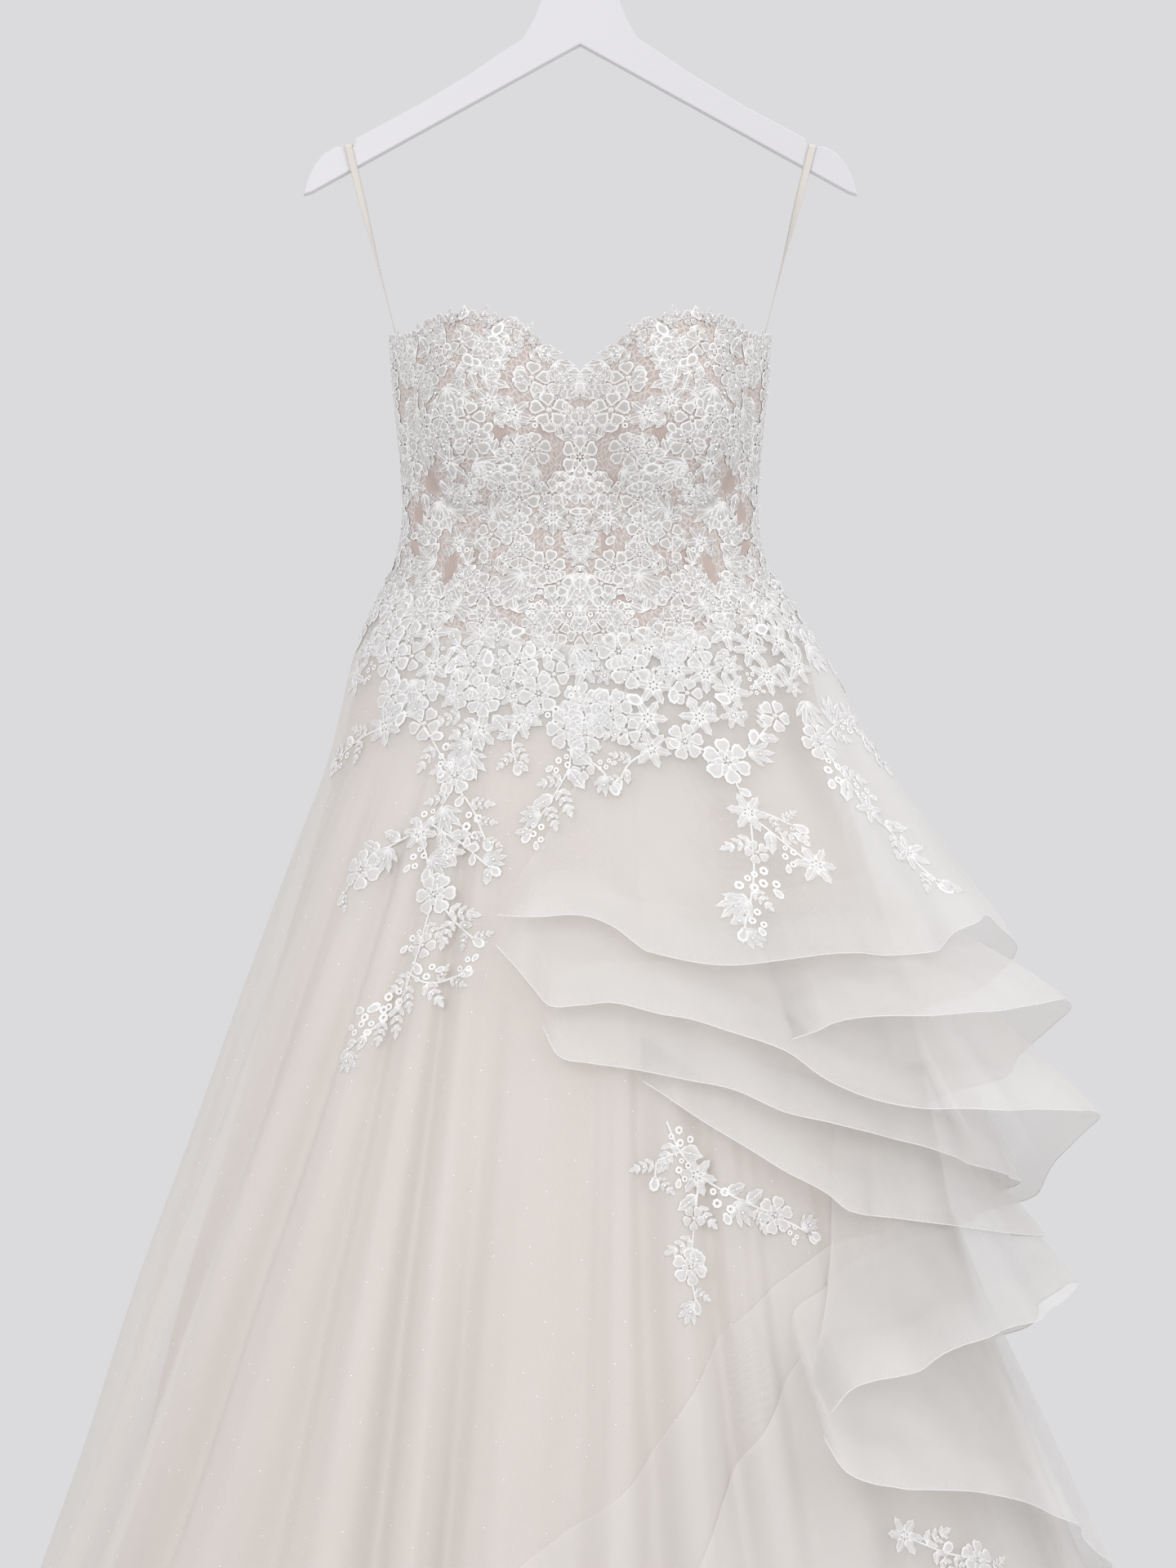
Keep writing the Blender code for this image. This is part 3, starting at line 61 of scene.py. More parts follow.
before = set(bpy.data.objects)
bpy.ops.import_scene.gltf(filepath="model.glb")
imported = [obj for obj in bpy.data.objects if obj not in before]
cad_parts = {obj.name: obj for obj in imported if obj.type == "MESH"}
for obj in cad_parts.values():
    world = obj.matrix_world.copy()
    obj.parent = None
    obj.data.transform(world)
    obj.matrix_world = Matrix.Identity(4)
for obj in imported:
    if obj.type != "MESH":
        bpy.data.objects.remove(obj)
CAD_BOX = [list(corner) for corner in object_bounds()]
MM = 0.001
SIDES = ((1, "right"), (-1, "left"))


def table(kind, rows):
    """Named rows of one kind."""
    return [kind(*row) for row in rows]


# ---- The form, its edges, the folds and the flounces ----

# The body form that the dress keeps: half widths to each side, and depths in front and behind
Form = namedtuple("Form", "drop left right front back")
FORM = table(Form, [
    (345, 153, 153, 80, 76), (400, 149, 149, 80, 75), (450, 144, 144, 77, 72), (488, 141.5, 141.5, 75, 70),
    (520, 143, 143, 77, 71), (550, 151, 151, 84, 77), (580, 165, 165, 97, 92), (612, 178, 178, 110, 108),
    (694, 198, 198, 132, 140), (762, 222, 222, 155, 172), (896, 268, 260, 196, 232),
    (1004, 304, 282, 228, 278), (1108, 340, 303, 256, 318), (1239, 379, 343, 287, 362),
    (1333, 410, 374, 310, 392), (1683, 520, 500, 385, 480),
])
SECTION_POWER = 0.9  # below 1 the section is a little squarer than an ellipse

# Edges and seams of the bodice, the same on both sides
Edge = namedtuple("Edge", "turn drop")
NECKLINE = table(Edge, [
    (0, 418), (1.5, 406), (5, 389), (11, 369), (20, 355), (33, 350), (45, 351), (52, 358), (60, 363),
    (90, 363), (120, 372), (150, 388), (180, 395),
])
CUP_SEAM = table(Edge, [
    (0, 455), (8, 472), (17, 500), (27, 509), (38, 503), (50, 482), (58, 462),
])
WAIST = table(Edge, [
    (0, 612), (19, 606), (40, 592), (62, 572), (90, 548), (120, 551), (180, 560),
])
PRINCESS_TURN = 16.0
SIDE_FRONT_TURN = 58.0
SIDE_BACK_TURN = 112.0

# Each cup is a soft bump on the form
CUP_ACROSS = 68.0
CUP_DROP = 437.0
CUP_HALF_WIDTH = 62.0
CUP_ABOVE = 110.0
CUP_BELOW = 72.0
CUP_LIFT = 38.0
CUP_ROUNDNESS = 1.25
# Folds of the tulle, from the centre back round the wearer's right side: where each ridge and the hollow
# after it lie at the top and at the hem, how far they rise and sink at the hem, and where they begin
Fold = namedtuple("Fold", "ridge_top ridge_hem hollow_top hollow_hem rise sink start")
FOLDS = table(Fold, [
    (-168, -170, -158, -161, 24, 18, 660), (-145, -150, -134, -140, 26, 20, 660),
    (-121, -128, -110, -118, 24, 18, 660), (-98, -108, -88, -98, 20, 18, 700),
    (-76, -90, -64, -82, 22, 20, 700), (-56, -77, -48, -72, 24, 18, 700), (-40, -67, -32, -62, 26, 24, 700),
    (-30, -48, -28, -36, 22, 16, 700), (-24.5, -26, -21, -20, 24, 26, 700),
    (-17, -14.5, -12, -13, 22, 28, 700), (-5, -9, 3, -3, 26, 16, 860), (6, 1, 8, 7, 20, 16, 860),
    (12, 12.5, 16, 19, 24, 24, 860), (21, 21, 26, 26, 20, 16, 860), (32, 32, 38, 38, 14, 14, 1000),
    (46, 46, 54, 54, 14, 12, 1100), (63, 63, 72, 72, 14, 14, 1100), (81, 81, 90, 90, 14, 12, 1100),
    (102, 102, 115, 115, 16, 14, 1100), (130, 130, 144, 144, 16, 12, 1100),
    (160, 160, 180, 180, 14, 12, 1100),
])
SKIRT_SEAMS = {"left": 3, "front": 10, "right": 17}  # folds whose hollow holds a seam

# Flounces, listed from the outermost: where each column's upper edge and hem lie, and how far the hem
# stands off the form.  An upper edge of 0 is the waist seam.
Column = namedtuple("Column", "turn root hem out")
BackRun = namedtuple("BackRun", "root hem out wave")
Flounce = namedtuple("Flounce", "front back")
FLOUNCES = [Flounce(table(Column, front), back and BackRun(*back)) for front, back in (
    ([(-12.2, 804, 814, 20), (-9, 783, 815, 24), (-5, 754, 815, 26), (0, 712, 814, 23), (4.3, 680, 822, 20),
      (8.5, 648, 838, 22), (9.6, 0, 841, 23), (17, 0, 849, 27), (23, 0, 851, 34), (29, 0, 848, 44),
      (36, 0, 845, 40), (44, 0, 843, 50), (52, 0, 846, 46), (61, 0, 844, 62), (69, 0, 836, 60),
      (77, 0, 824, 76), (84, 0, 820, 84), (91, 0, 836, 98), (97, 0, 856, 104), (106, 0, 886, 82)],
     (0, 996, 34, 14)),
    ([(30, 800, 905, 12), (33.9, 800, 901, 40), (37, 798, 894, 52), (40.4, 796, 890, 62),
      (46, 794, 889, 68), (52.6, 792, 890, 80), (60, 790, 889, 84), (66.7, 788, 889, 97),
      (75, 786, 886, 112), (82, 786, 885, 126), (88, 788, 890, 132), (95, 790, 910, 122),
      (101, 794, 936, 100), (108, 800, 960, 92)], (840, 1076, 38, 15)),
    ([(-12.4, 824, 836, 9), (-9, 808, 852, 12), (-6.1, 803, 867, 16), (-3.5, 800, 880, 26),
      (0, 798, 880, 22), (4, 800, 878, 26), (10.4, 806, 886, 30), (15, 808, 890, 28), (20, 808, 898, 36),
      (28.5, 805, 913, 40), (35.2, 804, 936, 46), (41.9, 803, 951, 56), (48.5, 803, 958, 70),
      (56, 803, 960, 76), (64.3, 803, 964, 92), (71, 803, 966, 98), (78, 803, 970, 120),
      (85, 805, 975, 134), (91, 810, 990, 130), (97, 816, 1020, 108), (104, 826, 1056, 92)],
     (872, 1204, 40, 14)),
    ([(-4.5, 868, 896, 8), (-2.4, 856, 917, 13), (0.8, 852, 922, 19), (4, 850, 925, 17), (8, 850, 928, 21),
      (14.5, 850, 935, 21), (21, 850, 942, 28), (28, 850, 958, 31), (35.4, 850, 967, 36),
      (44, 850, 978, 38), (52.8, 850, 989, 44), (64, 850, 1006, 48), (76, 850, 1020, 56),
      (88, 852, 1034, 60), (100, 856, 1052, 50)], None),
    ([(8, 905, 936, 9), (10.1, 900, 943, 12), (15.5, 893, 962, 15), (21.2, 890, 980, 18),
      (27.7, 890, 1001, 24), (34.4, 890, 1019, 28), (37.4, 890, 1032, 30), (46, 890, 1040, 24),
      (58, 890, 1050, 24), (72, 890, 1062, 24), (86, 890, 1074, 22), (98, 892, 1084, 18)], None),
    ([(28.2, 1150, 1172, 44), (30.5, 1126, 1155, 56), (33.5, 1098, 1148, 62), (36.8, 1060, 1145, 66),
      (40.3, 990, 1143, 66), (45, 946, 1136, 60), (50, 938, 1130, 62), (56, 935, 1126, 66),
      (63, 935, 1126, 60), (71, 935, 1126, 66), (78, 935, 1119, 76), (85, 935, 1111, 90),
      (92, 938, 1118, 88), (99, 942, 1140, 68), (107, 948, 1166, 74)], (990, 1330, 36, 16)),
    ([(27.6, 1120, 1188, 34), (28.7, 1104, 1211, 50), (33.6, 1090, 1222, 64), (38, 1078, 1226, 66),
      (43, 1070, 1230, 68), (49, 1064, 1239, 58), (55, 1060, 1250, 58), (62, 1060, 1266, 48),
      (68.3, 1060, 1282, 50), (76, 1060, 1306, 40), (84, 1060, 1332, 46), (92, 1062, 1356, 40),
      (101, 1066, 1380, 50)], (1114, 1492, 38, 12)),
    ([(8.5, 1318, 1356, 18), (12.7, 1261, 1390, 24), (17.1, 1215, 1408, 28), (22, 1180, 1422, 34),
      (26.8, 1148, 1434, 30), (33.5, 1114, 1448, 36), (37.5, 1098, 1456, 34), (41, 1086, 1464, 42),
      (48, 1078, 1476, 34), (56, 1074, 1488, 44), (65, 1074, 1500, 34), (75, 1074, 1512, 44),
      (86, 1074, 1524, 34), (97, 1076, 1534, 46)], (1124, 1578, 36, 8)),
    ([(-8.5, 1308, 1345, 12), (-4.9, 1278, 1376, 16), (-1, 1256, 1394, 16), (6.2, 1212, 1424, 18),
      (12, 1162, 1444, 20), (19, 1113, 1466, 20), (26.5, 1086, 1486, 22), (36.7, 1060, 1508, 20),
      (48, 1055, 1526, 22), (60, 1055, 1542, 20), (73, 1055, 1556, 22), (86, 1055, 1568, 20),
      (97, 1055, 1577, 22)], (1060, 1616, 22, 3)),
)]

# Seats, gaps and rates
HEM_DROP = 1683.0
WAIST_GAP = 1.2
SEAM_LAP = 2.0          # how far the skirt's upper edge reaches over the bodice
SEAT_GAP = 1.8
LAYER_GAP = 5.0
SKIRT_OUT = 1.9
FOLD_TOP_DROP = 650.0
FOLD_FLANK = 0.66
FOLD_GROWTH = 0.8
LINING_TOP = 548.0
LINING_FREE_DROP = 640.0
LINING_INSIDE = 0.2
LINING_SINK = 5.0
ZIP_END = 700.0
BACK_END_TURN = 178.4
BACK_STEPS = 7
FLOUNCE_EASE = 1.3
BAND_WIDTH = 33.0

# Places where heights over the form are kept: all round, and from above the waist to the hem
TURN_STEP = 0.5
DROP_STEP = 5.0
TURNS = np.arange(-180.0, 180.0 + TURN_STEP, TURN_STEP)
DROPS = np.arange(520.0, 1700.0 + DROP_STEP, DROP_STEP)


def column(rows, name):
    """One named value of every row."""
    return [getattr(row, name) for row in rows]


def smooth_values(keys, values, at):
    """Values of a table between its keys, on a smooth curve through them."""
    keys, values, at = (np.asarray(item, float) for item in (keys, values, at))
    last = len(keys) - 1
    before = np.maximum(np.arange(last + 1) - 1, 0)
    after = np.minimum(np.arange(last + 1) + 1, last)
    slopes = (values[after] - values[before]) / (keys[after] - keys[before])
    at = np.clip(at, keys[0], keys[-1])
    first = np.clip(np.searchsorted(keys, at) - 1, 0, last - 1)
    span = keys[first + 1] - keys[first]
    t = (at - keys[first]) / span
    return ((2 * t**3 - 3 * t**2 + 1) * values[first] + (3 * t**2 - 2 * t**3) * values[first + 1]
            + ((t**3 - 2 * t**2 + t) * slopes[first] + (t**3 - t**2) * slopes[first + 1]) * span)


def form_sizes(drop, name):
    return smooth_values(column(FORM, "drop"), column(FORM, name), drop)


def form_points(turn, drop, out=0.0):
    """Points that stand off the body form by `out`, in metres."""
    turn, drop, out = np.broadcast_arrays(*(np.asarray(item, float) for item in (turn, drop, out)))
    side, ahead = np.sin(np.radians(turn)), np.cos(np.radians(turn))
    half = np.where(side > 0, form_sizes(drop, "right"), form_sizes(drop, "left"))
    depth = np.where(ahead > 0, form_sizes(drop, "front"), form_sizes(drop, "back"))
    across = np.sign(side) * np.abs(side) ** SECTION_POWER
    forward = np.sign(ahead) * np.abs(ahead) ** SECTION_POWER
    grade = 2 / SECTION_POWER - 1
    normal = np.stack([np.sign(across) * np.abs(across) ** grade / half,
                       -np.sign(forward) * np.abs(forward) ** grade / depth], -1)
    normal /= np.linalg.norm(normal, axis=-1, keepdims=True)
    flat = np.stack([half * across, -depth * forward], -1) + normal * out[..., None]
    return np.concatenate([flat, -drop[..., None]], -1) * MM


def edge_drops(edge, turn):
    """Drop of the neckline, cup seam or waist at turns on either side."""
    around = np.abs((np.asarray(turn, float) + 180) % 360 - 180)
    return smooth_values(column(edge, "turn"), column(edge, "drop"), around)


def bodice_outs(turn, drop):
    """How far the bodice's outer face stands off the form: nothing but the two cups."""
    turn, drop = np.broadcast_arrays(np.asarray(turn, float), np.asarray(drop, float))
    across = np.abs(form_points(turn, drop)[..., 0]) / MM - CUP_ACROSS
    below = drop - CUP_DROP
    reach = np.where(below > 0, CUP_BELOW, CUP_ABOVE)
    spread = (across / CUP_HALF_WIDTH) ** 2 + (below / reach) ** 2
    return np.where(np.abs(turn) > 90, 0.0, CUP_LIFT * np.clip(1 - spread, 0, None) ** CUP_ROUNDNESS)


def lining_outs(drop, draw_in):
    """How far the lining hangs off the form: just inside it at the waist, and well inside the tulle below."""
    sunk = np.clip((drop - LINING_TOP) / (LINING_FREE_DROP - LINING_TOP), 0, 1)
    growth = np.clip((drop - ZIP_END) / (HEM_DROP - ZIP_END), 0, None) ** FOLD_GROWTH
    return -LINING_INSIDE - LINING_SINK * sunk - draw_in * growth


FoldLines = namedtuple("FoldLines", "top hem height start")


def fold_lines():
    """Lines down the skirt: the hollow, the flank, the ridge and the other flank of each fold."""
    rows = []
    before = FOLDS[-1]._replace(hollow_top=-180, hollow_hem=-180)
    for fold in FOLDS:
        start = max(before.start, fold.start)
        hollow = (before.hollow_top, before.hollow_hem, -before.sink, start)
        ridge = (fold.ridge_top, fold.ridge_hem, fold.rise, fold.start)
        following = (fold.hollow_top, fold.hollow_hem, -fold.sink, fold.start)
        rows += [hollow, flank(hollow, ridge), ridge, flank(ridge, following)]
        before = fold
    rows.append((180, 180, -before.sink, before.start))
    return FoldLines(*(np.array(values, float) for values in zip(*rows)))


def flank(first, second):
    """Line between a hollow and a ridge, higher than their mean, so that folds are full."""
    low, high = sorted((first[2], second[2]))
    return ((first[0] + second[0]) / 2, (first[1] + second[1]) / 2, low + FOLD_FLANK * (high - low),
            max(first[3], second[3]))


LINES = fold_lines()


def line_turns(drop):
    """Turns of all the fold lines at one drop."""
    share = max(0.0, (drop - FOLD_TOP_DROP) / (HEM_DROP - FOLD_TOP_DROP))
    return LINES.top + (LINES.hem - LINES.top) * share


# Soft creases across the cloth, which lean by a radian in `lean` millimetres of drop
Crease = namedtuple("Crease", "height rate start lean")
TULLE_CREASES = (Crease(1.4, 2.1, 0.9, 330), Crease(0.6, 5.3, 0.0, 240))
LINING_CREASES = (Crease(5.0, 17, 0.7, math.inf), Crease(2.6, 31, 0.0, 300))
TULLE_CREASE_TOP = 640


def creased(creases, place, drop):
    """Height of several sine waves together."""
    return sum(crease.height * np.sin(crease.rate * place + crease.start + drop / crease.lean)
               for crease in creases)


def tulle_ripple(place, drop):
    """Fine soft creases that run down between the folds, in millimetres."""
    growth = np.clip((drop - TULLE_CREASE_TOP) / (HEM_DROP - TULLE_CREASE_TOP), 0, 1) ** 0.6
    return growth * creased(TULLE_CREASES, place, drop)


def skirt_heights():
    """Stand-off of the tulle skirt over the form, for every drop and turn that is kept."""
    rows = []
    for drop in DROPS:
        turns = line_turns(drop)
        growth = np.clip((drop - LINES.start) / (HEM_DROP - LINES.start), 0, None) ** FOLD_GROWTH
        place = np.interp(TURNS, turns, np.arange(len(turns)))
        folds = smooth_values(turns, SKIRT_OUT + LINES.height * growth, TURNS)
        rows.append(folds + tulle_ripple(place, drop))
    return np.array(rows)


def kept_height(heights, turn, drop):
    """Height at any turn and drop, between the kept ones."""
    across = np.clip((np.asarray(turn, float) - TURNS[0]) / TURN_STEP, 0, len(TURNS) - 1.001)
    down = np.clip((np.asarray(drop, float) - DROPS[0]) / DROP_STEP, 0, len(DROPS) - 1.001)
    return between(heights, down, across)


def between(grid, down, across):
    """Value of a grid at fractional rows and columns."""
    row, col = np.floor(down).astype(int), np.floor(across).astype(int)
    row, col = np.clip(row, 0, grid.shape[0] - 2), np.clip(col, 0, grid.shape[1] - 2)
    v, u = down - row, across - col
    return ((grid[row, col] * (1 - u) + grid[row, col + 1] * u) * (1 - v)
            + (grid[row + 1, col] * (1 - u) + grid[row + 1, col + 1] * u) * v)


def softened(grid, rounds):
    """The grid with each value drawn towards its neighbours'."""
    for _ in range(rounds):
        wide = np.pad(grid, 1, mode="edge")
        grid = (wide[1:-1, 1:-1] * 4 + wide[:-2, 1:-1] + wide[2:, 1:-1]
                + wide[1:-1, :-2] + wide[1:-1, 2:]) / 8
    return grid


def flounce_columns(flounce):
    """All columns of a flounce: those of the front, and waves that fade towards the centre back."""
    def root_at(root, turn):
        return root or float(edge_drops(WAIST, turn)) + WAIST_GAP

    columns = [item._replace(root=root_at(item.root, item.turn)) for item in flounce.front]
    if flounce.back is None:
        return columns
    last, run = columns[-1], flounce.back
    for step in range(1, BACK_STEPS + 1):
        share = step / BACK_STEPS
        turn = last.turn + (BACK_END_TURN - last.turn) * share
        wave = run.wave * (1 - share) * (1 if step % 2 == 0 else -1)
        root = last.root + (run.root - last.root) * share if run.root else root_at(0, turn)
        columns.append(Column(turn, root, last.hem + (run.hem - last.hem) * share,
                              last.out + (run.out - last.out) * share + wave))
    return columns


FlounceFace = namedtuple("FlounceFace", "turns root hem outs")
END_FADE = 0.030        # metres over which the front end of a flounce runs into its seam
FLOUNCE_TURN_STEP = 0.4
FLOUNCE_ROWS = 34
FLUTE_SPREAD = 24       # columns over which the mean reach of a hem is taken
FLUTE_EASE = 2.1        # flutes open towards the hem faster than the cloth leaves its seam
FLUTES = ((15.1, 1.0, 1.0), (8.3, 0.45, 2.3))  # degrees of each wave, its height and its shift by level


def lay_flounces(heights, ripple):
    """Heights of the faces of all the flounces, worked out from the innermost one outwards.

    Returns them, and the heights of what is outermost.
    """
    stack, faces = heights.copy(), {}
    for level in reversed(range(len(FLOUNCES))):
        columns = flounce_columns(FLOUNCES[level])
        keys = column(columns, "turn")
        count = int((keys[-1] - keys[0]) / FLOUNCE_TURN_STEP) + 1
        turns = np.linspace(keys[0], keys[-1], count)
        root, hem, reach = (smooth_values(keys, column(columns, name), turns)
                            for name in ("root", "hem", "out"))
        share = np.linspace(0, 1, FLOUNCE_ROWS)[:, None]
        drop = root + (hem - root) * share
        under = kept_height(stack, turns, drop)
        wave = sum(height * np.sin(turns * 2 * math.pi / period + shift * level)
                   for period, height, shift in FLUTES)
        spread = np.pad(reach, FLUTE_SPREAD, mode="edge")
        steady = np.convolve(spread, np.hanning(2 * FLUTE_SPREAD + 1) / FLUTE_SPREAD, "valid")
        ease = share ** FLOUNCE_EASE
        gap = SEAT_GAP + (LAYER_GAP - SEAT_GAP) * np.clip(3 * share, 0, 1)
        free = ((under + SEAT_GAP) * (1 - ease) + steady * ease
                + (reach - steady + ripple * wave) * share ** FLUTE_EASE)
        outs = softened(np.maximum(free, under + gap), 3)
        outs = np.maximum(outs, under + 0.6 * gap)
        faces[level] = FlounceFace(turns, root, hem, outs)
        inside = (TURNS >= keys[0]) & (TURNS <= keys[-1])
        across = (TURNS[inside] - keys[0]) / (keys[-1] - keys[0]) * (count - 1)
        top, foot = np.interp(TURNS[inside], turns, root), np.interp(TURNS[inside], turns, hem)
        down = (DROPS[:, None] - top) / (foot - top)
        value = between(outs, np.clip(down, 0, 1) * (FLOUNCE_ROWS - 1),
                        np.broadcast_to(across, down.shape))
        below = stack[:, inside]
        stack[:, inside] = np.where((down >= 0) & (down <= 1), np.maximum(below, value), below)
    return faces, stack


# ---- Making meshes ----

# A mesh to be.  Finishes read its UVs and its tones, and both may be missing.
Shape = namedtuple("Shape", "points faces uvs tones", defaults=(None, None))
LEAST_AREA_SHARE = 0.3   # of the box that a sheet is cut from


def add_piece(name, shape, material, nodes=()):
    """Object with a mesh of its own, which rides on the dress and stands for CAD nodes."""
    mesh = bpy.data.meshes.new(name)
    mesh.from_pydata(np.asarray(shape.points).reshape(-1, 3).tolist(), [], shape.faces)
    mesh.materials.append(material)
    mesh.polygons.foreach_set("use_smooth", [True] * len(mesh.polygons))
    if shape.uvs is not None:
        corners = np.empty(len(mesh.loops), int)
        mesh.loops.foreach_get("vertex_index", corners)
        uvs = np.asarray(shape.uvs).reshape(-1, 2)[corners]
        mesh.uv_layers.new(name="cloth").data.foreach_set("uv", uvs.ravel())
    if shape.tones is not None:
        tones = np.asarray(shape.tones, float).ravel()
        mesh.attributes.new("tone", "FLOAT", "POINT").data.foreach_set("value", tones)
    mesh.update()
    piece = bpy.data.objects.new(name, mesh)
    bpy.context.scene.collection.objects.link(piece)
    return settle(piece, nodes)


def settle(piece, nodes=()):
    """Says what a piece rides on, and hides the CAD nodes that it stands for."""
    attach(piece, "dress")
    if nodes:
        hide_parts(*nodes)
    return piece


def grid_faces(rows, columns):
    """Faces of a grid of points, whose rows run down and whose columns run towards +X in front."""
    index = (np.arange(rows - 1)[:, None] * columns + np.arange(columns - 1)).ravel()
    return np.stack([index, index + columns, index + columns + 1, index + 1], -1).tolist()


def grid_uvs(points):
    """Lengths across and down a grid in metres, measured from its middle column and its top."""
    def lengths(axis):
        steps = np.linalg.norm(np.diff(points, axis=axis), axis=-1)
        return np.insert(np.cumsum(steps, axis=axis), 0, 0.0, axis=axis)

    across, down = lengths(1), lengths(0)
    across -= across[:, across.shape[1] // 2][:, None]
    return np.stack([across, down], -1)


def add_cloth(name, points, material, nodes, tones=None):
    """Sheet of cloth through a grid of points.  The size and area that it was cut to are worked out but not
    used.
    """
    uvs = grid_uvs(points)
    shape = Shape(points, grid_faces(*points.shape[:2]), uvs, tones)
    piece = add_piece(name, shape, material, nodes)
    width, length = np.ptp(uvs[..., 0], axis=1).max(), uvs[-1, :, 1].max()
    diagonals = points[1:, 1:] - points[:-1, :-1], points[:-1, 1:] - points[1:, :-1]
    area = np.linalg.norm(np.cross(*diagonals), axis=-1).sum() / 2
    area = float(np.clip(area, LEAST_AREA_SHARE * width * length, width * length))
    return piece


def ring_pairs(count):
    """Each corner of a ring with the next."""
    return [(i, (i + 1) % count) for i in range(count)]


def tube(path, radius, sides=6):
    """Thin tube along a path."""
    path = np.asarray(path, float)
    along = np.gradient(path, axis=0)
    along /= np.linalg.norm(along, axis=1, keepdims=True)
    side = np.cross(along, [0.0, 0.0, 1.0])
    side /= np.maximum(np.linalg.norm(side, axis=1, keepdims=True), 1e-9)
    up = np.cross(side, along)
    angles = np.linspace(0, 2 * math.pi, sides, endpoint=False)
    ring = side[:, None] * np.cos(angles)[:, None] + up[:, None] * np.sin(angles)[:, None]
    points = (path[:, None] + ring * radius).reshape(-1, 3)
    faces = []
    for start in range(0, (len(path) - 1) * sides, sides):
        for i, j in ring_pairs(sides):
            faces.append((start + i, start + i + sides, start + j + sides, start + j))
    faces.append(tuple(range(sides)))
    faces.append(tuple(reversed(range(len(points) - sides, len(points)))))
    return Shape(points, faces, np.zeros((len(points), 2)))


def joined_shapes(shapes):
    """One shape from several."""
    faces, start = [], 0
    for shape in shapes:
        faces += [tuple(corner + start for corner in face) for face in shape.faces]
        start += len(shape.points)
    points, uvs, tones = (getattr(shapes[0], name) if getattr(shapes[0], name) is None
                          else np.concatenate([getattr(shape, name) for shape in shapes])
                          for name in ("points", "uvs", "tones"))
    return Shape(points, faces, uvs, tones)


# ---- Finishes ----

NET_PITCH = 1.3 * MM
BRAID_PITCH = 1.9 * MM
BODY_NET_PITCH = 1.8 * MM
NET_SLANT = 0.5
BRAID_SLANT = 0.72


class Finish:
    """A material whose nodes are added one after the other."""

    def __init__(self, name, color, roughness, **inputs):
        self.material = bpy.data.materials.new(name)
        self.material.use_nodes = True
        self.tree = self.material.node_tree
        self.shader = self.tree.nodes["Principled BSDF"]
        for key, value in dict(inputs, base_color=color, roughness=roughness).items():
            self.set(key.replace("_", " ").title(), value)

    def node(self, kind, settings=(), **inputs):
        """A node with its settings, and its inputs by name, or by number after an underscore."""
        made = self.tree.nodes.new("ShaderNode" + kind)
        for key, value in dict(settings).items():
            setattr(made, key, value)
        for key, value in inputs.items():
            place = int(key[1:]) if key[1:].isdigit() else key
            self.join(value, made.inputs[place])
        return made

    def join(self, value, socket):
        """Links a node's output to a socket, or sets the socket to a number, vector or colour."""
        if isinstance(value, bpy.types.NodeSocket):
            self.tree.links.new(value, socket)
        elif socket.type == "RGBA":
            socket.default_value = (*value[:3], 1.0)
        else:
            socket.default_value = value

    def maths(self, operation, first, second=0.0, third=0.0):
        return self.node("Math", {"operation": operation}, _0=first, _1=second, _2=third).outputs[0]

    def places(self, scale=(1, 1, 1), turn=(0, 0, 0), kind="cloth"):
        """Places on the cloth in metres, or in space, as a vector that a pattern reads."""
        if kind == "cloth":
            source = self.node("UVMap", {"uv_map": "cloth"}).outputs[0]
        else:
            source = self.node("TexCoord").outputs["Object"]
        return self.node("Mapping", Vector=source, Scale=scale, Rotation=turn).outputs[0]

    def steps(self, value, *stops):
        """Greys between two positions of a value."""
        ramp = self.node("ValToRGB", Fac=value)
        for element, (position, grey) in zip(ramp.color_ramp.elements, stops):
            element.position = position
            element.color = (grey, grey, grey, 1.0)
        return ramp.outputs[0]

    def mixed(self, share, first, second):
        return self.node("Mix", {"data_type": "RGBA"}, _0=share, _6=first, _7=second).outputs[2]

    def tone(self):
        """The mesh's own value from 0 to 1, such as how near a thread lies to a cord."""
        return self.node("Attribute", {"attribute_name": "tone"}).outputs["Fac"]

    def stripes(self, places, axis, period):
        """Value that rises and falls once in each period along an axis."""
        along = self.node("SeparateXYZ", Vector=places).outputs[axis]
        wave = self.maths("SINE", self.maths("MULTIPLY", along, 2 * math.pi / period))
        return self.maths("MULTIPLY_ADD", wave, 0.5, 0.5)

    def net(self, places, pitch):
        """Threads of a fine net, as where two slanting sets of stripes are high."""
        turned_places = (self.node("Mapping", Vector=places, Rotation=(0, 0, angle)).outputs[0]
                         for angle in (NET_SLANT, -NET_SLANT))
        return self.maths("MAXIMUM", *(self.stripes(item, 0, pitch) for item in turned_places))

    def raised(self, height, distance, strength=1.0):
        bump = self.node("Bump", Height=height, Distance=distance, Strength=strength)
        self.join(bump.outputs[0], self.shader.inputs["Normal"])

    def noise(self, places, scale, detail=3.0, dimensions="2D"):
        return self.node("TexNoise", {"noise_dimensions": dimensions}, Vector=places, Scale=scale,
                         Detail=detail).outputs[0]

    def voronoi(self, places, scale, feature="F1"):
        return self.node("TexVoronoi", {"voronoi_dimensions": "2D", "feature": feature}, Vector=places,
                         Scale=scale).outputs[0]

    def waves(self, scale, distortion, **inputs):
        """Fine threads that lie across the cloth's own second direction."""
        return self.node("TexWave", {"bands_direction": "Y"}, Vector=self.places(), Scale=scale,
                         Distortion=distortion, **inputs).outputs[1]

    def set(self, name, value):
        self.join(value, self.shader.inputs[name])


def dimmed(color, share):
    """The colour at a share of its brightness."""
    return tuple(channel * share for channel in color[:3])


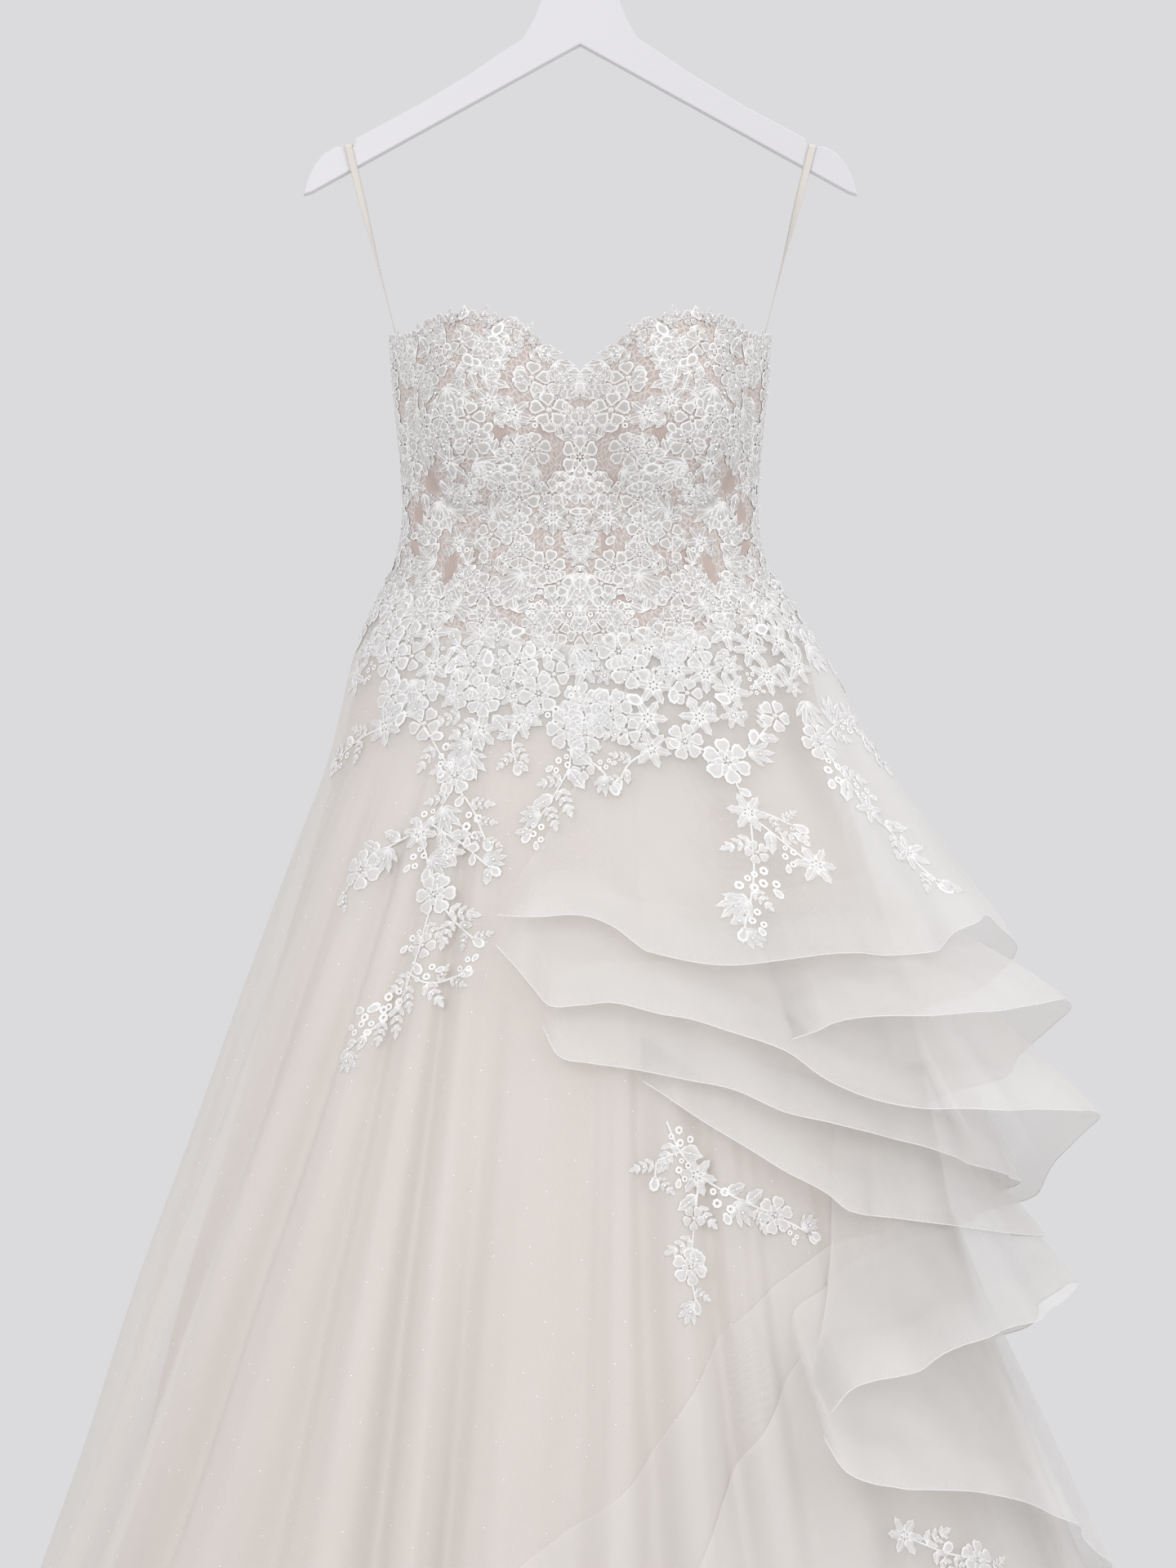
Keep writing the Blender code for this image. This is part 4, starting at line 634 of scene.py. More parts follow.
def tulle_finish(color, cover):
    """Fine net: the holes let what lies beneath show through, and tiny glitter flakes in it are painted white
    as glints.
    """
    finish = Finish("tulle", color, 0.75, sheen_weight=0.2, sheen_roughness=0.5)
    places = finish.places()
    threads = finish.net(places, NET_PITCH)
    cloudy = finish.noise(finish.places((1.0, 0.25, 1.0)), 7.0, 2.0)
    # the glitter flakes are real and opaque; their sparkle is painted into the base colour below
    glitter_and_glint = finish.maths("LESS_THAN", finish.voronoi(places, 34.0), 0.013)
    base = finish.mixed(finish.maths("MULTIPLY", cloudy, 0.3), color, dimmed(color, 0.95))
    # painted glint: each glitter flake is coloured plain white to stand in for its sparkle
    finish.set("Base Color", finish.mixed(glitter_and_glint, base, (1.0, 1.0, 1.0)))
    woven = finish.maths("MULTIPLY_ADD", threads, 0.16, cover - 0.06)
    shaded = finish.maths("MULTIPLY_ADD", finish.maths("SUBTRACT", cloudy, 0.5), 0.2, woven)
    finish.set("Alpha", finish.maths("MAXIMUM", shaded, glitter_and_glint))
    return finish.material


def organza_finish(color, cover):
    """Crisp sheer weave, slightly creased down its length, that fades out where an end is sewn in."""
    finish = Finish("organza", color, 0.5, sheen_weight=0.25, sheen_roughness=0.4)
    cloudy = finish.noise(finish.places((1.0, 0.3, 1.0)), 11.0, 1.0)
    across = finish.stripes(finish.places(), 0, NET_PITCH)
    shaded = finish.maths("MULTIPLY_ADD", finish.maths("SUBTRACT", cloudy, 0.5), 0.22, cover)
    woven = finish.maths("MULTIPLY_ADD", across, 0.05, shaded)
    finish.set("Alpha", finish.maths("MULTIPLY", woven, finish.tone()))
    return finish.material


def braid_finish(color, cover):
    """Horsehair braid: fine stiff threads that cross on the slant, with open holes between them."""
    finish = Finish("horsehair", color, 0.45)
    slants = (finish.places(turn=(0, 0, angle)) for angle in (BRAID_SLANT, -BRAID_SLANT))
    woven = finish.maths("MAXIMUM", *(finish.stripes(places, 0, BRAID_PITCH) for places in slants))
    seen = finish.maths("MULTIPLY_ADD", woven, 0.08, cover - 0.04)
    finish.set("Alpha", finish.maths("MULTIPLY", seen, finish.tone()))
    return finish.material


def satin_finish(name, color, roughness=0.38):
    """Soft satin with a fine weave and slow changes of tone."""
    finish = Finish(name, color, roughness, sheen_weight=0.35, sheen_roughness=0.35)
    tone = finish.noise(finish.places((1.0, 0.2, 1.0)), 6.0)
    finish.set("Base Color", finish.mixed(tone, color, dimmed(color, 0.88)))
    finish.raised(finish.waves(900.0, 2.0), 0.0002, 0.35)
    return finish.material


def body_finish(color):
    """Nude body lining under fine white net, with small corded cells outside the lace's windows."""
    finish = Finish("body_net", color, 0.7, sheen_weight=0.2, sheen_roughness=0.5)
    places = finish.places()
    net = finish.maths("POWER", finish.net(places, BODY_NET_PITCH), 4.0)
    cells = finish.voronoi(places, 210.0, "DISTANCE_TO_EDGE")
    cords = finish.maths("MULTIPLY", finish.steps(cells, (0.07, 1.0), (0.18, 0.3)), finish.tone())
    nude = finish.mixed(finish.noise(places, 40.0), color, dimmed(color, 0.8))
    white = finish.maths("MAXIMUM", finish.maths("MULTIPLY", net, 0.3),
                         finish.maths("MULTIPLY", cords, 0.62))
    finish.set("Base Color", finish.mixed(white, nude, (0.80, 0.78, 0.76)))
    finish.raised(white, 0.0003, 0.5)
    return finish.material


def lace_finish(name, color, shade, sheer=0.0):
    """Corded lace: fine silky threads that fill each petal, and a thicker pale cord along its edge."""
    finish = Finish(name, color, 0.48, sheen_weight=0.3, sheen_roughness=0.4)
    threads = finish.waves(260.0, 1.2, Detail=1.0)
    cord = finish.steps(finish.tone(), (0.58, 0.0), (0.88, 1.0))
    filled = finish.mixed(threads, dimmed(shade, 0.88), shade)
    finish.set("Base Color", finish.mixed(cord, filled, color))
    finish.raised(threads, 0.0004, 0.5)
    if sheer:
        open_share = finish.maths("MULTIPLY", finish.maths("SUBTRACT", 1.0, cord), sheer)
        finish.set("Alpha", finish.maths("SUBTRACT", 1.0, open_share))
    return finish.material


def gloss_finish(name, color, roughness, **inputs):
    """Hard finish with slight unevenness, for metal, beads and paint."""
    finish = Finish(name, color, roughness, **inputs)
    marks = finish.noise(finish.places(kind="space"), 180.0, 4.0, "3D")
    uneven = finish.maths("MULTIPLY", marks, 0.12)
    finish.set("Roughness", finish.maths("ADD", uneven, roughness - 0.06))
    return finish.material


def bead_finishes(prefix="", **pearl_inputs):
    """Finishes of the pearls and of the clear sequins."""
    return (gloss_finish(prefix + "pearl", (0.86, 0.83, 0.80), 0.2, coat_weight=0.6, **pearl_inputs),
            gloss_finish(prefix + "sequin", (0.95, 0.95, 0.96), 0.14, metallic=0.35, coat_weight=1.0))


def wood_finish(color):
    """Satin white paint, through which the grain of the wood shows faintly."""
    finish = Finish("painted_wood", color, 0.36, coat_weight=0.25, coat_roughness=0.2)
    places = finish.places((6.0, 60.0, 60.0), kind="space")
    grain = finish.noise(places, 4.0, 6.0, "3D")
    shown = finish.maths("MULTIPLY", grain, 0.16)
    finish.set("Base Color", finish.mixed(shown, color, (0.70, 0.69, 0.70)))
    finish.raised(grain, 0.0004, 0.25)
    return finish.material


# ---- Lace motifs ----

# A motif's points are across, up and rise; its tones are high on cords and low on threads
Placed = namedtuple("Placed", "kind turn drop size spin")
ROUND_KINDS = ("flower", "rose", "star")


def cushioned(outline, centre, rise, rim=0.87, hollow=0.1, axis=0.0):
    """Closed outline filled with threads, with a raised cord along its edge."""
    outline, centre = np.array(outline, float), np.array(centre, float)
    crest = centre + (outline - centre) * rim
    flat = np.concatenate([outline, crest, centre[None]])
    count = len(outline)
    heights = np.concatenate([np.zeros(count), np.full(count, rise), [rise * hollow]])
    tones = np.concatenate([np.full(2 * count, 0.9), [0.0]])
    cos, sin = math.cos(axis), math.sin(axis)
    uvs = np.stack([flat[:, 0] * cos + flat[:, 1] * sin, flat[:, 1] * cos - flat[:, 0] * sin], -1)
    faces = []
    for i, j in ring_pairs(count):
        faces += [(i, j, j + count, i + count), (i + count, j + count, 2 * count)]
    return Shape(np.column_stack([flat, heights]), faces, uvs, tones)


def polar(reach, angle):
    """Across and up of a place at a distance and an angle."""
    return reach * math.cos(angle), reach * math.sin(angle)


def ring_shape(radius, rise, sides=8, hole=0.5):
    """Corded ring round an open eye."""
    points, faces = [], []
    for reach, height in ((1.0, 0.0), ((1 + hole) / 2, rise), (hole, 0.1 * rise)):
        points += [(*polar(radius * reach, 2 * math.pi * i / sides), height) for i in range(sides)]
    for i, j in ring_pairs(sides):
        faces += [(i, j, j + sides, i + sides), (i + sides, j + sides, j + 2 * sides, i + 2 * sides)]
    points = np.array(points)
    return Shape(points, faces, points[:, :2], np.ones(len(points)))


# Reach and turn of the places along a petal's outline, as shares of its length and of its half width
PETAL = ((0.17, 0.0), (0.46, -0.80), (0.72, -0.96), (0.90, -0.74), (1.0, -0.34), (0.94, 0.02), (0.99, 0.40),
         (0.88, 0.78), (0.70, 0.96), (0.44, 0.78))


def flower_shape(petals, rise, inner=0.0):
    """Open flower, one unit in radius, of broad corded petals that touch, round an eye or small petals."""
    half = math.pi / petals * 0.94
    shapes = []
    for petal in range(petals):
        turn = 2 * math.pi * petal / petals + math.pi / 2
        outline = [polar(reach, turn + half * share) for reach, share in PETAL]
        shapes.append(cushioned(outline, polar(0.66, turn), rise, axis=turn))
    if inner:
        upper = turned(flower_shape(petals, rise), 0.5, inner)
        shapes.append(upper._replace(points=upper.points + (0, 0, 0.9 * rise)))
    else:
        shapes.append(ring_shape(0.16, rise * 1.3, 6, 0.35))
    return joined_shapes(shapes)


def star_shape(rise):
    """Open flower of six pointed, ribbed petals."""
    petals = [turned(leaf_shape(rise, 0.27), turn, 0.86, polar(0.13, turn))
              for turn in np.radians(np.arange(15, 375, 60))]
    return joined_shapes(petals + [ring_shape(0.15, rise * 1.3, 6, 0.3)])


def leaf_shape(rise, width=0.26, curl=0.0):
    """Leaf one unit long from its foot, whose two halves meet along a corded rib."""
    stations = np.array([0.0, 0.16, 0.36, 0.5, 0.72, 0.8, 1.0])
    half = width * np.array([0.0, 0.74, 1.0, 0.78, 0.80, 0.46, 0.0])
    bend = curl * stations ** 2
    shapes = []
    for side in (1, -1):
        edge = [(x, b + side * w) for x, w, b in zip(stations, half, bend)]
        rib = [(x, b) for x, b in zip(stations[1:-1], bend[1:-1])]
        outline = edge + rib[::-1]
        centre = (0.5, curl * 0.25 + side * width * 0.42)
        outline = outline if side < 0 else outline[::-1]
        shapes.append(cushioned(outline, centre, rise, axis=side * 0.55))
    return joined_shapes(shapes)


def turned(shape, angle, scale=1.0, move=(0, 0)):
    """The shape turned about its foot or middle, scaled and moved."""
    cos, sin = math.cos(angle), math.sin(angle)
    across, up, rise = shape.points.T
    points = np.column_stack([(across * cos - up * sin) * scale + move[0],
                              (across * sin + up * cos) * scale + move[1], rise * min(1.0, scale)])
    return shape._replace(points=points, uvs=shape.uvs * scale)


def bunch_shape(parts, rise):
    """Several leaves, buds and rings as (kind, angle, length, place) on one foot."""
    kinds = {"leaf": leaf_shape(rise, 0.24), "slim": leaf_shape(rise, 0.15, 0.1), "bud": bud_shape(rise),
             "ring": ring_shape(0.5, rise, 7, 0.4)}
    return joined_shapes([turned(kinds[kind], *placing) for kind, *placing in parts])


def bud_shape(rise):
    """Small drop of petals on a short neck."""
    side = [(0.0, 0.13), (0.5, 0.34), (0.85, 0.25)]
    outline = [(x, -y) for x, y in side] + [(1.0, 0.0)] + side[::-1]
    return cushioned(outline, (0.5, 0.0), rise, rim=0.74, hollow=0.7)


FAN = [("slim", -0.8, 0.66, (0.06, 0)), ("slim", -0.38, 0.84, (0.1, 0)), ("slim", 0.02, 0.9, (0.1, 0)),
       ("slim", 0.42, 0.82, (0.1, 0)), ("slim", 0.86, 0.62, (0.06, 0))]
FROND = [("leaf", 0.0, 0.42, (0.58, 0))]
FROND += [("leaf", side * 0.72, 0.36 - 0.05 * step, (0.10 + 0.24 * step, 0))
          for step in range(3) for side in (1, -1)]
BERRIES = [("ring", 0.0, 0.26, (0.2, 0.16)), ("ring", 0.0, 0.26, (0.42, -0.14)),
           ("ring", 0.0, 0.24, (0.66, 0.12)), ("bud", 0.0, 0.34, (0.70, -0.06)),
           ("ring", 0.0, 0.2, (0.1, -0.12))]


def motif_shapes(rise):
    """Shapes of all kinds of motif.  Round ones are one unit in radius, and the rest one unit long."""
    return {
        "flower": flower_shape(5, rise), "rose": flower_shape(6, rise, 0.52), "star": star_shape(rise),
        "leaf": leaf_shape(rise), "fern": bunch_shape(FROND, rise), "sprig": bunch_shape(FAN, rise),
        "bud": bud_shape(rise), "berries": bunch_shape(BERRIES, rise),
    }


# Sizes of the lace in millimetres
LAP_RISE = 0.15          # how much higher each of four motifs lies than the one before it
STEM_WIDTH = 1.5
STEM_RISE = 0.7
STEM_LIFT = 0.6
STEM_STEP = 3.0
LEAF_STEP = 7.5
LEAST_WITH_SEQUIN = 12.0
SEQUIN_FLATNESS = 0.35   # its height as a share of its half width


def across_scale(turn, drop):
    """Millimetres for a degree of turn at places on the form."""
    step = form_points(np.asarray(turn) + 0.5, drop) - form_points(np.asarray(turn) - 0.5, drop)
    return np.linalg.norm(step, axis=-1) / MM


def laid_motifs(placed, shapes, height, lift, mirror=1):
    """Motifs laid as one shape on the cloth whose height over the form is given."""
    laid = []
    for index, item in enumerate(placed):
        size = item.size / (2 if item.kind in ROUND_KINDS else 1)
        shape = turned(shapes[item.kind], math.radians(item.spin), size)
        across, up, rise = shape.points.T
        turn = item.turn + across / across_scale(item.turn, item.drop)
        turn = np.clip(turn, -LACE_EDGE_TURN, LACE_EDGE_TURN) * mirror
        points = np.column_stack([turn, item.drop - up, rise + LAP_RISE * (index % 4)])
        faces = [face[::mirror] for face in shape.faces]
        laid.append(Shape(points, faces, shape.uvs * MM, shape.tones * (0.92 + 0.08 * (index * 0.37 % 1))))
    flat = joined_shapes(laid)
    turn, drop, rise = flat.points.T
    return flat._replace(points=form_points(turn, drop, height(turn, drop) + lift + rise))


def stem_run(stem, step):
    """Places along a stem through (turn, drop) keys, and its direction in degrees at each."""
    keys, at = np.arange(len(stem)), np.linspace(0, len(stem) - 1, 40 * (len(stem) - 1) + 1)
    turn, drop = (smooth_values(keys, [place[i] for place in stem], at) for i in (0, 1))
    scale = across_scale(turn, drop).mean()
    path = np.column_stack([turn * scale, -drop])
    lengths = np.concatenate([[0], np.cumsum(np.linalg.norm(np.diff(path, axis=0), axis=1))])
    marks = np.linspace(0, lengths[-1], max(int(lengths[-1] / step), 2) + 1)
    path = np.column_stack([np.interp(marks, lengths, path[:, i]) for i in (0, 1)])
    along = np.gradient(path, axis=0)
    return path[:, 0] / scale, -path[:, 1], np.degrees(np.arctan2(along[:, 1], along[:, 0]))


def laid_stems(stems, height):
    """Corded stems along lists of (turn, drop) places, laid on the cloth beneath."""
    laid = []
    for stem in stems:
        turn, drop, heading = stem_run(stem, STEM_STEP)
        side = np.radians(heading + 90)
        across = STEM_WIDTH / 2 * np.array([-1, 0, 1])
        turns = turn[:, None] + (np.cos(side) / across_scale(turn, drop))[:, None] * across
        drops = drop[:, None] - np.sin(side)[:, None] * across
        outs = height(turns, drops) + STEM_LIFT + STEM_RISE * np.array([0, 1, 0])
        points = form_points(turns, drops, outs)
        faces = [face[::-1] for face in grid_faces(len(turn), 3)]
        laid.append(Shape(points.reshape(-1, 3), faces, grid_uvs(points).reshape(-1, 2),
                          np.ones(points.size // 3)))
    return joined_shapes(laid)


def grown_sprays(stems, flowers, chance):
    """Flowers of a spray, and the leaves, buds and berries that grow from both sides of its stems."""
    placed = [Placed(*flower, chance.uniform(0, 70)) for flower in flowers]
    for stem in stems:
        turns, drops, headings = stem_run(stem, LEAF_STEP)
        side, last = 1, len(turns) - 1
        for index, (turn, drop, heading) in enumerate(zip(turns, drops, headings)):
            side = -side
            scale = across_scale(turn, drop)
            near = any(math.hypot((turn - flower[1]) * scale, drop - flower[2]) < flower[3] * 0.42
                       for flower in flowers)
            if near or not index:
                continue
            size = chance.uniform(17, 24) * (1.0 if index < last - 2 else 0.75)
            kind = chance.choice(("leaf", "fern", "sprig", "fern", "berries", "bud"))
            size = size * {"bud": 0.55, "leaf": 0.9}.get(kind, 1.2)
            placed.append(Placed(kind, turn, drop, size, heading + side * chance.uniform(30, 62)))
            if index == last:
                placed.append(Placed("bud", turn, drop, 11, heading))
    return placed


BEAD_SIDES = 6
BEAD_RINGS = ((-0.7, 0.7), (0.25, 0.97), (0.85, 0.5))  # how high each ring lies and how far it reaches


def bead_shape(places, radius, height, lift, flat=1.0):
    """Small round beads or flat sequins at (turn, drop) places."""
    places = np.asarray(places, float)
    top = (len(BEAD_RINGS) - 1) * BEAD_SIDES
    ball = [(*polar(reach, 2 * math.pi * i / BEAD_SIDES), rise * flat)
            for rise, reach in BEAD_RINGS for i in range(BEAD_SIDES)]
    ball = np.array([*ball, (0.0, 0.0, flat)]) * radius
    faces = [(start + i, start + j, start + j + BEAD_SIDES, start + i + BEAD_SIDES)
             for start in range(0, top, BEAD_SIDES) for i, j in ring_pairs(BEAD_SIDES)]
    faces += [(top + i, top + j, len(ball) - 1) for i, j in ring_pairs(BEAD_SIDES)]
    turn, drop = places[:, :1], places[:, 1:]
    outs = height(turn, drop) + lift + ball[:, 2]
    points = form_points(turn + ball[:, 0] / across_scale(turn, drop), drop - ball[:, 1], outs)
    return joined_shapes([Shape(bead, faces) for bead in points])


def sequin_places(motifs):
    """Places of the sequins, as (turn, drop): on the middles of the leaves, ferns, sprigs and stars."""
    places = []
    for item in motifs:
        if item.kind in ("leaf", "fern", "sprig", "star") and item.size > LEAST_WITH_SEQUIN:
            reach = 0.0 if item.kind == "star" else 0.45 * item.size
            across, up = polar(reach, math.radians(item.spin))
            turn = item.turn + across / float(across_scale(item.turn, item.drop))
            places.append((min(turn, LACE_EDGE_TURN - 0.5), item.drop - up))
    return places


# How small motifs are strewn: the kinds of each size, where they may lie, how far apart as a share of
# their sizes, the places tried for each size, how much longer than wide the leaves are, and their spins
Scatter = namedtuple("Scatter", "kinds allowed spacing tries length spins")


def scattered(chance, scatter, region, taken=()):
    """Motifs in a region of (turn, drop) that keep clear of each other and of those that are there."""
    first, last, top, foot = region
    spots = [form_points(item.turn, item.drop) / MM for item in taken]
    reaches = [item.size * (1.0 if item.kind in ROUND_KINDS else 0.45) for item in taken]
    found = []
    for size in sorted(scatter.kinds, reverse=True):
        turns = np.array([chance.uniform(first, last) for _ in range(scatter.tries)])
        drops = np.array([chance.uniform(top, foot) for _ in range(scatter.tries)])
        inside = scatter.allowed(turns, drops, size)
        points = form_points(turns, drops) / MM
        for turn, drop, point in zip(turns[inside], drops[inside], points[inside]):
            near = scatter.spacing * (size + np.array(reaches)) / 2
            if not spots or (np.linalg.norm(np.array(spots) - point, axis=1) > near).all():
                spots.append(point)
                reaches.append(size)
                found.append((float(turn), float(drop), size))
    motifs = []
    for turn, drop, size in found:
        kind = chance.choice(scatter.kinds[size])
        stretch = 1.08 if kind in ROUND_KINDS else scatter.length
        motifs.append(Placed(kind, turn, drop, size * stretch, chance.uniform(*scatter.spins)))
    return motifs


# Motifs of the bodice on one side, which the other side mirrors, and the nude windows between them
BODICE_MOTIFS = table(Placed, [
    ("rose", 23.3, 387, 27, 0), ("flower", 11.8, 403, 27, 10), ("flower", 7.4, 427, 28, -8),
    ("fern", 16.6, 418, 20, -40), ("rose", 41.7, 446, 26, 15), ("sprig", 50, 492, 34, -100),
    ("fern", 45, 520, 34, 95), ("fern", 35.5, 566, 36, 100), ("rose", 24.2, 590, 27, 0),
    ("flower", 18.0, 568, 28, 20), ("rose", 45.7, 582, 30, 0), ("flower", 31.9, 374, 22, 30),
    ("fern", 17, 388, 24, 105), ("flower", 43.6, 374, 20, 0), ("rose", 49.4, 406, 22, 10),
    ("flower", 64, 384, 22, 0), ("star", 66, 428, 24, 0), ("flower", 29, 434, 24, 15),
    ("fern", 21, 452, 28, 20), ("rose", 11.9, 458, 27, 10), ("sprig", 52, 530, 30, 60),
    ("fern", 60, 558, 30, 70), ("flower", 7.1, 489, 20, 0), ("flower", 16.2, 474, 22, 0),
    ("flower", 25.4, 478, 22, 20), ("fern", 35, 484, 30, -120), ("flower", 4.6, 599, 21, 0),
    ("rose", 9.9, 592, 22, 30), ("sprig", 79, 482, 34, 110), ("leaf", 73, 522, 28, 60),
    ("flower", 26.5, 522, 24, 10), ("rose", 16, 538, 24, 30), ("flower", 4.8, 561, 22, 10),
    ("fern", 24, 552, 30, 130), ("sprig", 28, 508, 30, 150), ("fern", 14, 508, 30, 200),
])
CENTRE_MOTIFS = table(Placed, [
    ("rose", 0, 462, 36, 0), ("flower", 0, 436, 20, 36), ("flower", 0, 488, 24, 0),
    ("sprig", 0, 497, 28, 90), ("star", 0, 514, 30, 22), ("fern", 0, 536, 32, -90), ("rose", 0, 572, 28, 0),
    ("flower", 0, 600, 24, 36),
])
Window = namedtuple("Window", "turn drop across down")  # half sizes in millimetres
WINDOWS = table(Window, [
    (8.2, 442, 5, 4), (20.5, 448, 6, 7), (19.5, 408, 4, 7), (9.6, 482, 7, 5), (6.6, 529, 5, 10),
    (52.9, 478, 8, 10), (59, 503, 11, 9), (61, 530, 8, 12), (40, 548, 5, 12), (9.4, 574, 4, 6),
    (13, 606, 5, 4), (98, 505, 9, 11), (106, 538, 8, 11), (84, 545, 7, 10), (31, 540, 4, 7),
    (140, 520, 8, 12),
])

# Stems of the sprays on the skirt and the flounces, and the flowers on them as (kind, turn, drop, size)
SPRAYS = {
    "spray_left": (
        [[(-49.4, 672), (-42, 664), (-36, 672), (-30, 694), (-25.3, 710), (-27, 732), (-31, 752)],
         [(-31, 752), (-37, 762), (-44, 778), (-47, 800)], [(-31, 752), (-28, 776), (-25, 798), (-21, 818),
         (-16.5, 832)], [(-25, 798), (-26, 830), (-27, 858), (-29, 884), (-36, 916)], [(-28, 858),
         (-23, 866), (-18, 860)], [(-20.7, 652), (-22, 680), (-25.3, 710), (-20, 736), (-16.5, 758)],
         [(-49.4, 672), (-58, 680), (-70, 697)], [(-30, 745), (-22, 760), (-15, 779)]],
        [("star", -49.4, 672, 34), ("flower", -36, 670, 27), ("rose", -20.7, 652, 28),
         ("star", -28.5, 648, 28), ("rose", -25.3, 710, 31), ("star", -31, 754, 30),
         ("rose", -43.5, 782, 32), ("rose", -25, 800, 32), ("star", -23.5, 768, 26),
         ("flower", -25.5, 838, 20)]),
    "spray_centre": (
        [[(-9.6, 664), (-5, 660), (-2.2, 672), (-1.5, 700), (-4, 724), (-8, 752)], [(-2.2, 672), (2, 664),
         (6.5, 664)], [(-2, 690), (3, 704), (5, 716)], [(-9.6, 664), (-13, 682), (-12, 700)]],
        [("rose", -2.2, 674, 34), ("flower", 0.5, 704, 20), ("star", -9.6, 664, 26),
         ("flower", 5.6, 664, 22)]),
    "spray_right": (
        [[(13.5, 690), (17, 682), (21, 684), (26, 692), (30, 699), (31, 720), (31.6, 740), (30.5, 764),
         (29, 788), (25.5, 824)], [(31.6, 740), (38, 762), (45, 788)], [(30, 699), (36, 690), (46.5, 664)],
         [(13.5, 690), (9, 700), (7, 712)], [(31.6, 734), (37, 741), (41, 748)]],
        [("star", 13.5, 690, 32), ("rose", 21, 684, 29), ("rose", 30, 699, 36), ("star", 31.6, 738, 32),
         ("star", 43, 778, 32), ("flower", 46.5, 664, 26), ("flower", 31, 768, 18)]),
    "spray_side": (
        [[(59.2, 682), (62, 710), (65, 736), (69, 754), (71, 770), (74, 792)], [(59.2, 682), (68, 672),
         (78, 664)], [(78, 664), (82, 680), (84, 700)]],
        [("rose", 59.2, 684, 30), ("star", 65, 736, 28), ("star", 71, 770, 29), ("star", 78, 664, 26)]),
    "spray_low": (
        [[(11.3, 966), (13, 988), (15.5, 1005), (15, 1030), (13.6, 1070), (14, 1094)], [(15.5, 1005),
         (21, 1022), (27.5, 1036), (33, 1050)], [(13, 988), (10, 994), (9.4, 1006)]],
        [("star", 15.5, 1006, 32), ("rose", 27.5, 1036, 29), ("rose", 13.6, 1070, 28),
         ("flower", 14.5, 1036, 18)]),
    "spray_hem": (
        [[(36, 1262), (38, 1266), (43, 1280), (48.5, 1290), (52, 1304)], [(43, 1280), (42, 1292),
         (40, 1304)]],
        [("star", 38, 1266, 30), ("rose", 48.5, 1290, 30)]),
}

# ---- Settings ----

HOOK_INNER = 19.0
HOOK_WIRE = 2.25         # half the wire's thickness
HOOK_START = 205         # degrees
HOOK_NECK = 50           # degrees by which the wire bends back into its stem
HOOK_FOOT = 81.7


def color_setting(name, description, default):
    return FloatVectorProperty(name=name, description=description, default=default, subtype="COLOR",
                               min=0, max=1)


def share_setting(name, description, default):
    return FloatProperty(name=name, description=description, default=default, subtype="FACTOR",
                         min=0, max=1)


def length_setting(name, description, default):
    return FloatProperty(name=name, description=description, default=default, unit="LENGTH", min=0)


def power_setting(name, description, default):
    return FloatProperty(name=name, description=description, default=default)


class HangerSettings(bpy.types.PropertyGroup):
    wood_color: color_setting("Paint", "Colour of the painted wood", (0.70, 0.69, 0.71))
    steel_color: color_setting("Hook", "Colour of the wire hook", (0.72, 0.72, 0.74))
    wire_radius: length_setting("Wire radius", "Half the thickness of the hook's wire", HOOK_WIRE * MM)
    ribbon_color: color_setting("Ribbon", "Colour of the hanging loops", (0.80, 0.75, 0.70))
    ribbon_width: length_setting("Ribbon width", "Width of the hanging loops", 6.2 * MM)


class BodiceSettings(bpy.types.PropertyGroup):
    net_color: color_setting("Body net", "Colour of the nude body lining", (0.50, 0.39, 0.345))
    tape_color: color_setting("Zip tape", "Colour of the zip's tape and coil", (0.80, 0.77, 0.73))
    metal_color: color_setting("Zip metal", "Colour of the slider and its pull tab", (0.75, 0.75, 0.76))


class SkirtSettings(bpy.types.PropertyGroup):
    tulle_color: color_setting("Tulle", "Colour of the tulle overskirt", (0.86, 0.835, 0.805))
    tulle_cover: share_setting("Tulle cover", "How much the tulle hides what lies beneath", 0.5)
    lining_color: color_setting("Lining", "Colour of the satin lining", (0.84, 0.75, 0.675))
    lining_draw_in: length_setting("Lining draw-in", "How far the lining's hem hangs inside the tulle",
                                   44 * MM)


class FlounceSettings(bpy.types.PropertyGroup):
    organza_color: color_setting("Organza", "Colour of the flounces", (0.90, 0.875, 0.85))
    organza_cover: share_setting("Organza cover", "How much one flounce hides what lies beneath", 0.31)
    band_color: color_setting("Bands", "Colour of the horsehair bands", (0.92, 0.91, 0.895))
    band_cover: share_setting("Band cover", "How much a band hides what lies beneath", 0.22)
    cord_color: color_setting("Hem cords", "Colour of the cord along each hem", (0.90, 0.89, 0.88))
    ripple: length_setting("Ripple", "Height of the small waves in each hem", 2.0 * MM)


class LaceSettings(bpy.types.PropertyGroup):
    lace_color: color_setting("Cord", "Colour of the lace's cords", (0.96, 0.955, 0.945))
    light_shade_color: color_setting("Skirt threads", "Colour of the threads in the petals on the skirt",
                                     (0.95, 0.94, 0.93))
    sheer: share_setting("Sheer petals", "How far petals on the skirt let what lies beneath show", 0.35)
    shade_color: color_setting("Threads", "Colour of the threads inside the petals", (0.61, 0.588, 0.566))
    rise: length_setting("Rise", "Height of the cords over the cloth", 0.45 * MM)
    bead_radius: length_setting("Bead radius", "Half the width of a pearl", 1.5 * MM)
    sequin_radius: length_setting("Sequin radius", "Half the width of a sequin", 1.2 * MM)
    seed: IntProperty(name="Seed", description="Which of many layouts of the small motifs is used",
                      default=11)


